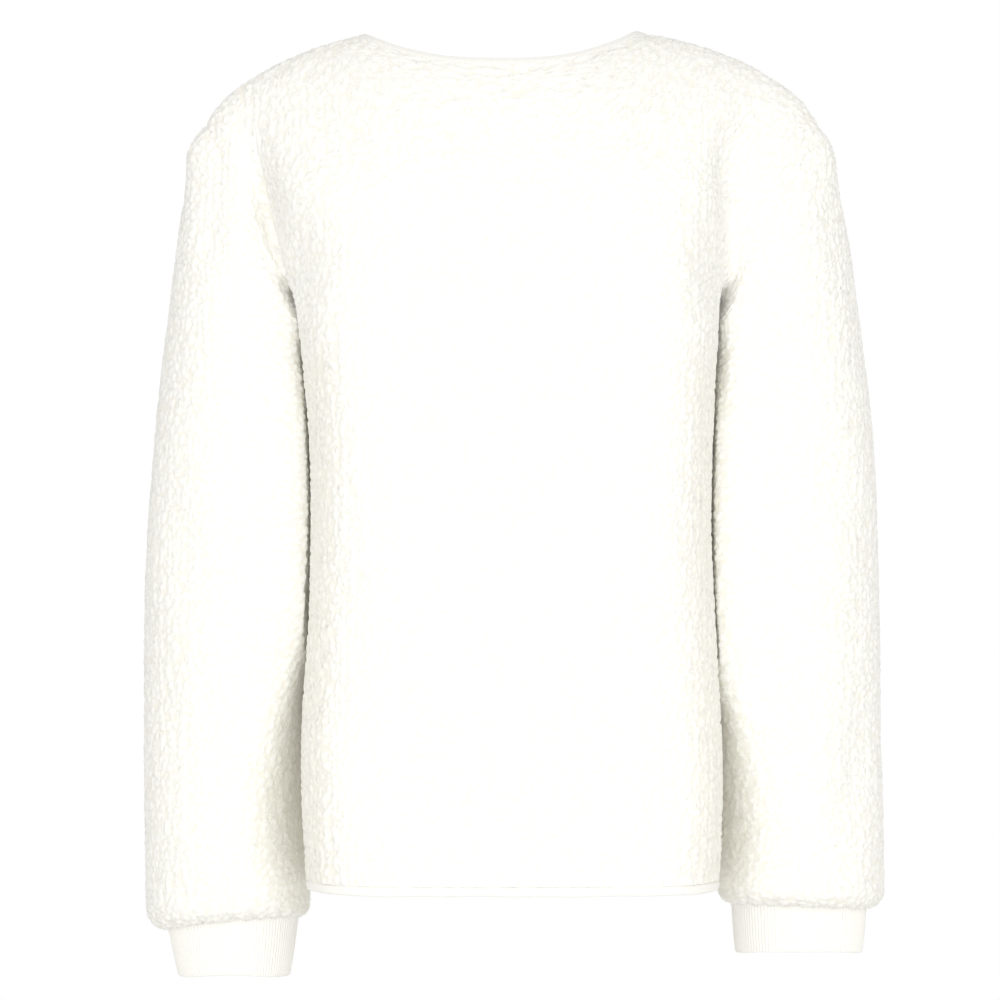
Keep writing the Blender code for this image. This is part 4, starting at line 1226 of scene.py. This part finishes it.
def group(name, inputs, output, kind):
    """A node group with named inputs and one output: its nodes, its inputs and its output."""
    tree = bpy.data.node_groups.new(name, "ShaderNodeTree")
    for label, value in inputs.items():
        sort = {float: "Float", tuple: "Color"}.get(type(value), "Vector")
        socket = tree.interface.new_socket(label, in_out="INPUT", socket_type="NodeSocket" + sort)
        if value:
            socket.default_value = value
    tree.interface.new_socket(output, in_out="OUTPUT", socket_type="NodeSocket" + kind)
    nodes = Nodes(tree)
    return nodes, nodes.add("NodeGroupInput").outputs, nodes.add("NodeGroupOutput").inputs[0]


def uneven_colour():
    """Cloth colour that drifts a little over a hand's width, with finer flecks of shade."""
    inputs = {
        "Vector": None,
        "Color": WHITE,
        "Shade": (0.8, 0.78, 0.7, 1.0),
        "Drift": 0.25,
        "Flecks": 0.25,
        "Fleck Scale": 900.0,
    }
    nodes, ins, out = group("uneven cloth colour", inputs, "Color", "Color")
    wide = nodes.noise(ins["Vector"], 11.0, Detail=2.0)[0]
    fine = nodes.noise(ins["Vector"], ins["Fleck Scale"], Detail=2.0)[0]
    spread = nodes.math("MULTIPLY", wide, ins["Drift"])
    share = nodes.math("ADD", spread, nodes.math("MULTIPLY", fine, ins["Flecks"]))
    nodes.put(out, nodes.blend(share, ins["Color"], ins["Shade"]))
    return nodes.tree


def fibre_relief():
    """Two sizes of tangled fibre as one bumped normal: small curls and single hairs."""
    inputs = {
        "Vector": None,
        "Curl Scale": 430.0,
        "Curl Strength": 0.3,
        "Hair Scale": 1300.0,
        "Hair Strength": 0.25,
    }
    nodes, ins, out = group("fibre relief", inputs, "Normal", "Vector")
    warp = nodes.noise(ins["Vector"], 260.0, Detail=1.0)["Color"]
    reach = (0.003, 0.003, 0.003)
    bent = nodes.add("ShaderNodeVectorMath", warp, reach, ins["Vector"], operation="MULTIPLY_ADD")
    curl = nodes.add("ShaderNodeTexVoronoi", Vector=bent.outputs[0], Scale=ins["Curl Scale"])
    crown = nodes.math("SUBTRACT", 1.0, curl.outputs["Distance"])
    low = nodes.bump(crown, ins["Curl Strength"], 0.0012)
    hair = nodes.noise(bent.outputs[0], ins["Hair Scale"], Detail=3.0, Roughness=0.65)[0]
    nodes.put(out, nodes.bump(hair, ins["Hair Strength"], 0.0006, Normal=low))
    return nodes.tree


def knit_loops():
    """Knitted loops as a height from the piece's own UV map: rows of small vees in columns."""
    inputs = {"Columns": 1.0, "Rows": 1.0, "Slant": 0.5}
    nodes, ins, out = group("knit loops", inputs, "Height", "Float")
    place = nodes.add("ShaderNodeUVMap", uv_map="UVMap")
    split = nodes.add("ShaderNodeSeparateXYZ", place.outputs[0])
    column = nodes.math("FRACT", nodes.math("MULTIPLY", split.outputs[0], ins["Columns"]))
    off = nodes.math("ABSOLUTE", nodes.math("SUBTRACT", column, 0.5))
    slant = nodes.math("MULTIPLY", off, ins["Slant"])
    row = nodes.math("ADD", nodes.math("MULTIPLY", split.outputs[1], ins["Rows"]), slant)
    wave = nodes.math("ABSOLUTE", nodes.math("SINE", nodes.math("MULTIPLY", row, np.pi)))
    edge = nodes.math("COSINE", nodes.math("MULTIPLY", off, np.pi))
    nodes.put(out, nodes.math("MULTIPLY", nodes.math("POWER", wave, 0.6), edge))
    return nodes.tree


def cloth(name, roughness, sheen):
    """A material with its shader set for cloth, its nodes and its object coordinates."""
    material = bpy.data.materials.new(name)
    material.use_nodes = True
    nodes = Nodes(material.node_tree)
    shader = material.node_tree.nodes["Principled BSDF"]
    nodes.feed(shader, Roughness=roughness, Specular_IOR_Level=0.2)
    nodes.feed(shader, Sheen_Weight=sheen, Sheen_Roughness=0.6, Sheen_Tint=SHEEN_TONE)
    return material, nodes, shader, nodes.add("ShaderNodeTexCoord").outputs["Object"]


def teddy_pile():
    """The outer face: ivory tips over warmer, darker hollows, by the pile marked on the mesh; the
    hollows' tone is painted shade.
    """
    material, nodes, shader, place = cloth("ivory teddy pile", 0.95, 0.25)
    mark = nodes.add("ShaderNodeAttribute", attribute_name="pile")
    ramp = nodes.add("ShaderNodeValToRGB", mark.outputs["Fac"])
    # The hollow end of the ramp paints shade between the nubs
    hollow, tip = ramp.color_ramp.elements
    hollow.color = PILE_HOLLOW_SHADE
    tip.color = PILE_TIP
    tip.position = 0.45
    look = {"Color": ramp.outputs[0], "Shade": PILE_SHADE, "Drift": 0.2, "Flecks": 0.25}
    tone = nodes.place(COLOUR, Vector=place, **look)
    nodes.feed(shader, Base_Color=tone, Normal=nodes.place(FIBRES, Vector=place))
    return material


def knitted_ground():
    """The inside of the fleece: a fine brushed knit."""
    material, nodes, shader, place = cloth("knitted ground", 0.9, 0.15)
    look = {"Color": GROUND, "Shade": GROUND_SHADE, "Drift": 0.4, "Flecks": 0.6}
    tone = nodes.place(COLOUR, Vector=place, Fleck_Scale=420.0, **look)
    relief = nodes.place(FIBRES, Vector=place, Curl_Scale=380.0, Curl_Strength=0.9)
    nodes.feed(shader, Base_Color=tone, Normal=relief)
    return material


def knitted(name, tone, shade, columns, rows, slant, height, roughness):
    """A knit with its loops bumped up along the UV map and a little lint over them, and shade
    painted into the grooves between the loops.
    """
    material, nodes, shader, place = cloth(name, roughness, 0.12)
    loops = nodes.place(LOOPS, Columns=columns, Rows=rows, Slant=slant)
    # The grooves between the loops take the darker colour: painted shade
    look = {"Color": nodes.blend(loops, shade, tone), "Shade": shade, "Drift": 0.15, "Flecks": 0.2}
    colour = nodes.place(COLOUR, Vector=place, **look)
    lint = nodes.noise(place, 1500.0, Detail=2.0)[0]
    raised = nodes.math("MULTIPLY_ADD", lint, 0.35, loops)
    nodes.feed(shader, Base_Color=colour, Normal=nodes.bump(raised, 0.7, height))
    return material


def sewing_thread():
    """A fine twisted thread."""
    material, nodes, shader, place = cloth("sewing thread", 0.6, 0.1)
    wave = {"bands_direction": "DIAGONAL", "Vector": place, "Scale": 900.0, "Distortion": 1.0}
    twist = nodes.add("ShaderNodeTexWave", **wave).outputs["Fac"]
    look = {"Color": THREAD, "Shade": PILE_SHADE, "Drift": 0.1, "Flecks": 0.1}
    tone = nodes.place(COLOUR, Vector=place, **look)
    nodes.feed(shader, Base_Color=tone, Normal=nodes.bump(twist, 0.4, 0.0001))
    return material


# Meshes


def make_piece(name, points, groups, odd, finishes):
    """Writes points in millimetres, arrays of faces and a list of odd faces as an object."""
    faces = [face for rows in groups for face in rows.tolist()] + odd
    mesh = bpy.data.meshes.new(name)
    mesh.from_pydata((points.reshape(-1, 3) * MM).tolist(), [], faces)
    for finish in finishes:
        mesh.materials.append(finish)
    mesh.shade_smooth()
    piece = link(name, mesh)
    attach(piece, "root")
    return piece


def make_fleece(name, points, groups, fan, marks, rim):
    """A fleece piece: pile outside and on the lip, ground inside, and the pile marked on it."""
    piece = make_piece(name + "_fleece", points, groups, fan, (PILE, GROUND_KNIT))
    mesh = piece.data
    finish = np.ones(len(mesh.polygons), np.int32)
    finish[: sum(map(len, groups[:-1]))] = 0
    mesh.polygons.foreach_set("material_index", finish)
    mesh.attributes.new("pile", "FLOAT", "POINT").data.foreach_set("value", marks)
    on_rim = np.zeros(len(mesh.vertices), bool)
    on_rim[rim] = True
    ends = np.empty(2 * len(mesh.edges), np.int32)
    mesh.edges.foreach_get("vertices", ends)
    sharp = on_rim[ends.reshape(-1, 2)].all(axis=1)
    mesh.attributes.new("sharp_edge", "BOOLEAN", "EDGE").data.foreach_set("value", sharp)
    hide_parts(name)
    return piece


def lay_out(mesh, uv, wrap=None):
    """Gives every face corner its place on the UV map, with the closing column carried on."""
    corner = np.empty(len(mesh.loops), np.int32)
    mesh.loops.foreach_get("vertex_index", corner)
    flat = uv.reshape(-1, 2)[corner]
    if wrap:
        faces = flat.reshape(-1, 4, 2)
        u = faces[..., 0]
        late = np.ptp(u, axis=1, keepdims=True) > 0.5 * wrap
        u += np.where(late & (u < 0.5 * wrap), wrap, 0.0)
    mesh.uv_layers.new(name="UVMap").data.foreach_set("uv", flat.ravel())


def make_trim(name, points, groups, odd, finish):
    """A cuff, a binding or the stitches. A cuff and a binding each take their node's place."""
    piece = make_piece(name, points, groups, odd, (finish,))
    node = name.removesuffix("_rib").removesuffix("_binding")
    if node in CUTS:
        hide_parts(node)
    return piece


# The garment


def cut_panels(rows):
    """The grids of the five fleece panels, by name."""
    grids = {"back": back_panel(rows)}
    for side, sign in SIDES:
        grids["front_" + side] = front_panel(side, sign, rows)
        grids["sleeve_" + side] = sleeve_panel(side, sign, rows)
    return grids


def panel_normals(grids):
    """The outward normals of every panel, the same on both sides of a seam."""
    normals = {}
    for name, grid in grids.items():
        facing = 1.0 if name.endswith("left") else -1.0
        normals[name] = facing * grid_normals(grid, closed=name.startswith("sleeve"))
    join_normals(normals)
    return normals


def worn(name, grid, normal, rows):
    """A panel with its folds, its soft swelling and the gathers at the end of a sleeve."""
    grid = crease(grid, normal)
    hills = SWELL * swelling(grid.reshape(-1, 3), SWELL_SIZE, SWELL_LANE).reshape(grid.shape[:2])
    if name.startswith("sleeve"):
        run = run_of(grid)
        hills = hills + gathers(armhole_turn(sleeve_steps(rows)), run[-1] - run)
    return grid + hills[..., None] * normal


def make_panel(name, grid, normal, inward):
    face, pile = fleece_face(name, grid, normal)
    if name.startswith("sleeve"):
        shift = np.zeros_like(grid)
        shift[0] = edge_shift(grid[0], grid[1], inward[0], 0.5 * SEAM_GAP, closed=True)
        return fleece_wall(name, grid, face, pile, inward, shift)
    parts = (grid, face, pile, inward, panel_shift(name, grid, inward))
    if name != "front_left":
        parts = [part[:, ::-1] for part in parts]
    return fleece_wall(name, *parts)


def bound_hem(grids, inward):
    """The hem's run, carried on under the ends of the front bindings."""
    path = np.vstack(hem_run(grids))
    past = BAND_WIDTH * unit(path[[0, -1]] - path[[1, -2]]) * (1, 1, 0)
    wall = np.vstack(hem_run(inward))
    path = np.vstack([path[0] + past[0], path, path[-1] + past[1]])
    wall = np.vstack([wall[0], wall, wall[-1]])
    return binding("hem_band", path, np.zeros_like(path) - (0, 0, 1), wall)


def bound_neck(grids, inward):
    """The run of the neck and the front edges."""
    path = np.vstack(neck_run(grids))
    wall = np.vstack(neck_run(inward))
    outwards = unit(np.cross(unit(np.gradient(path, axis=0)), wall))
    return binding("neck_and_front_band", path, outwards, wall)


def make_garment():
    """All the pieces: the panels first, then what is sewn to their edges."""
    rows = levels()
    grids = cut_panels(rows)
    normals = panel_normals(grids)
    grids = {name: worn(name, grid, normals[name], rows) for name, grid in grids.items()}
    inward = {name: -normal for name, normal in normals.items()}
    turn_walls(grids, inward)

    pieces = {}
    for name, grid in grids.items():
        pieces[name] = make_panel(name, grid, normals[name], inward[name])
    for side, sign in SIDES:
        pieces["cuff_" + side] = cuff_tube(side, sign)
    pieces["hem_band"], hem_stitches = bound_hem(grids, inward)
    pieces["neck_and_front_band"], neck_stitches = bound_neck(grids, inward)
    stitches = stitch_row("binding_stitches", (hem_stitches, neck_stitches))


def link(name, data):
    """An object in the scene that shows a mesh, a lamp or a camera."""
    made = bpy.data.objects.new(name, data)
    bpy.context.collection.objects.link(made)
    return made


def make_light(name, place, aim, size, power, colour):
    lamp = bpy.data.lights.new(name, "AREA")
    lamp.shape = "RECTANGLE"
    lamp.size, lamp.size_y = size
    lamp.energy = power
    lamp.color = colour
    light = link(name, lamp)
    light.location = place
    light.rotation_euler = (Vector(aim) - Vector(place)).to_track_quat("-Z", "Y").to_euler()


def make_world():
    """Even light from all round, which the camera sees as plain white."""
    world = bpy.data.worlds.new("white studio")
    world.use_nodes = True
    nodes = Nodes(world.node_tree)
    light = world.node_tree.nodes["Background"]
    nodes.feed(light, Color=WORLD_TONE, Strength=WORLD_LIGHT)
    seen = nodes.add("ShaderNodeBackground", Color=WHITE, Strength=1.0).outputs[0]
    ray = nodes.add("ShaderNodeLightPath").outputs["Is Camera Ray"]
    mix = nodes.add("ShaderNodeMixShader", ray, light.outputs[0], seen)
    nodes.feed(world.node_tree.nodes["World Output"], Surface=mix.outputs[0])
    bpy.context.scene.world = world


def make_floor():
    """A pale round floor."""
    angle = np.linspace(0, 2 * np.pi, FLOOR_SIDES + 1)[:-1]
    edge = (FLOOR_RADIUS * np.cos(angle), FLOOR_RADIUS * np.sin(angle), 0 * angle + FLOOR_Z)
    mesh = bpy.data.meshes.new("pale_floor")
    mesh.from_pydata(np.stack(edge, axis=1).tolist(), [], [list(range(FLOOR_SIDES))])
    material = bpy.data.materials.new("pale floor")
    material.use_nodes = True
    shader = material.node_tree.nodes["Principled BSDF"]
    Nodes(material.node_tree).feed(shader, Base_Color=FLOOR_TONE, Roughness=0.8)
    mesh.materials.append(material)
    link("pale_floor", mesh)


def make_studio():
    """A white sweep of light, the floor, and the camera square to the back."""
    scene = bpy.context.scene
    scene.view_settings.view_transform = "Standard"
    make_world()
    for light in LIGHTS:
        make_light(*light)
    make_floor()
    lens = bpy.data.cameras.new("camera")
    lens.lens = CAMERA_LENS
    lens.sensor_width = CAMERA_SENSOR
    lens.clip_end = 50.0
    camera = link("camera", lens)
    camera.location = CAMERA_PLACE
    camera.rotation_euler = (0.5 * np.pi, 0.0, np.pi)
    scene.camera = camera


COLOUR = uneven_colour()
FIBRES = fibre_relief()
LOOPS = knit_loops()
PILE = teddy_pile()
GROUND_KNIT = knitted_ground()
RIB = knitted("fine rib", RIB_TONE, RIB_GROOVE_SHADE, 1.0, 0.85, 0.55, 0.00018, 0.85)
JERSEY = knitted("binding jersey", JERSEY_TONE, JERSEY_GROOVE_SHADE, 1.1, 1.3, 0.5, 0.00015, 0.8)
STITCH = sewing_thread()

make_garment()
make_studio()
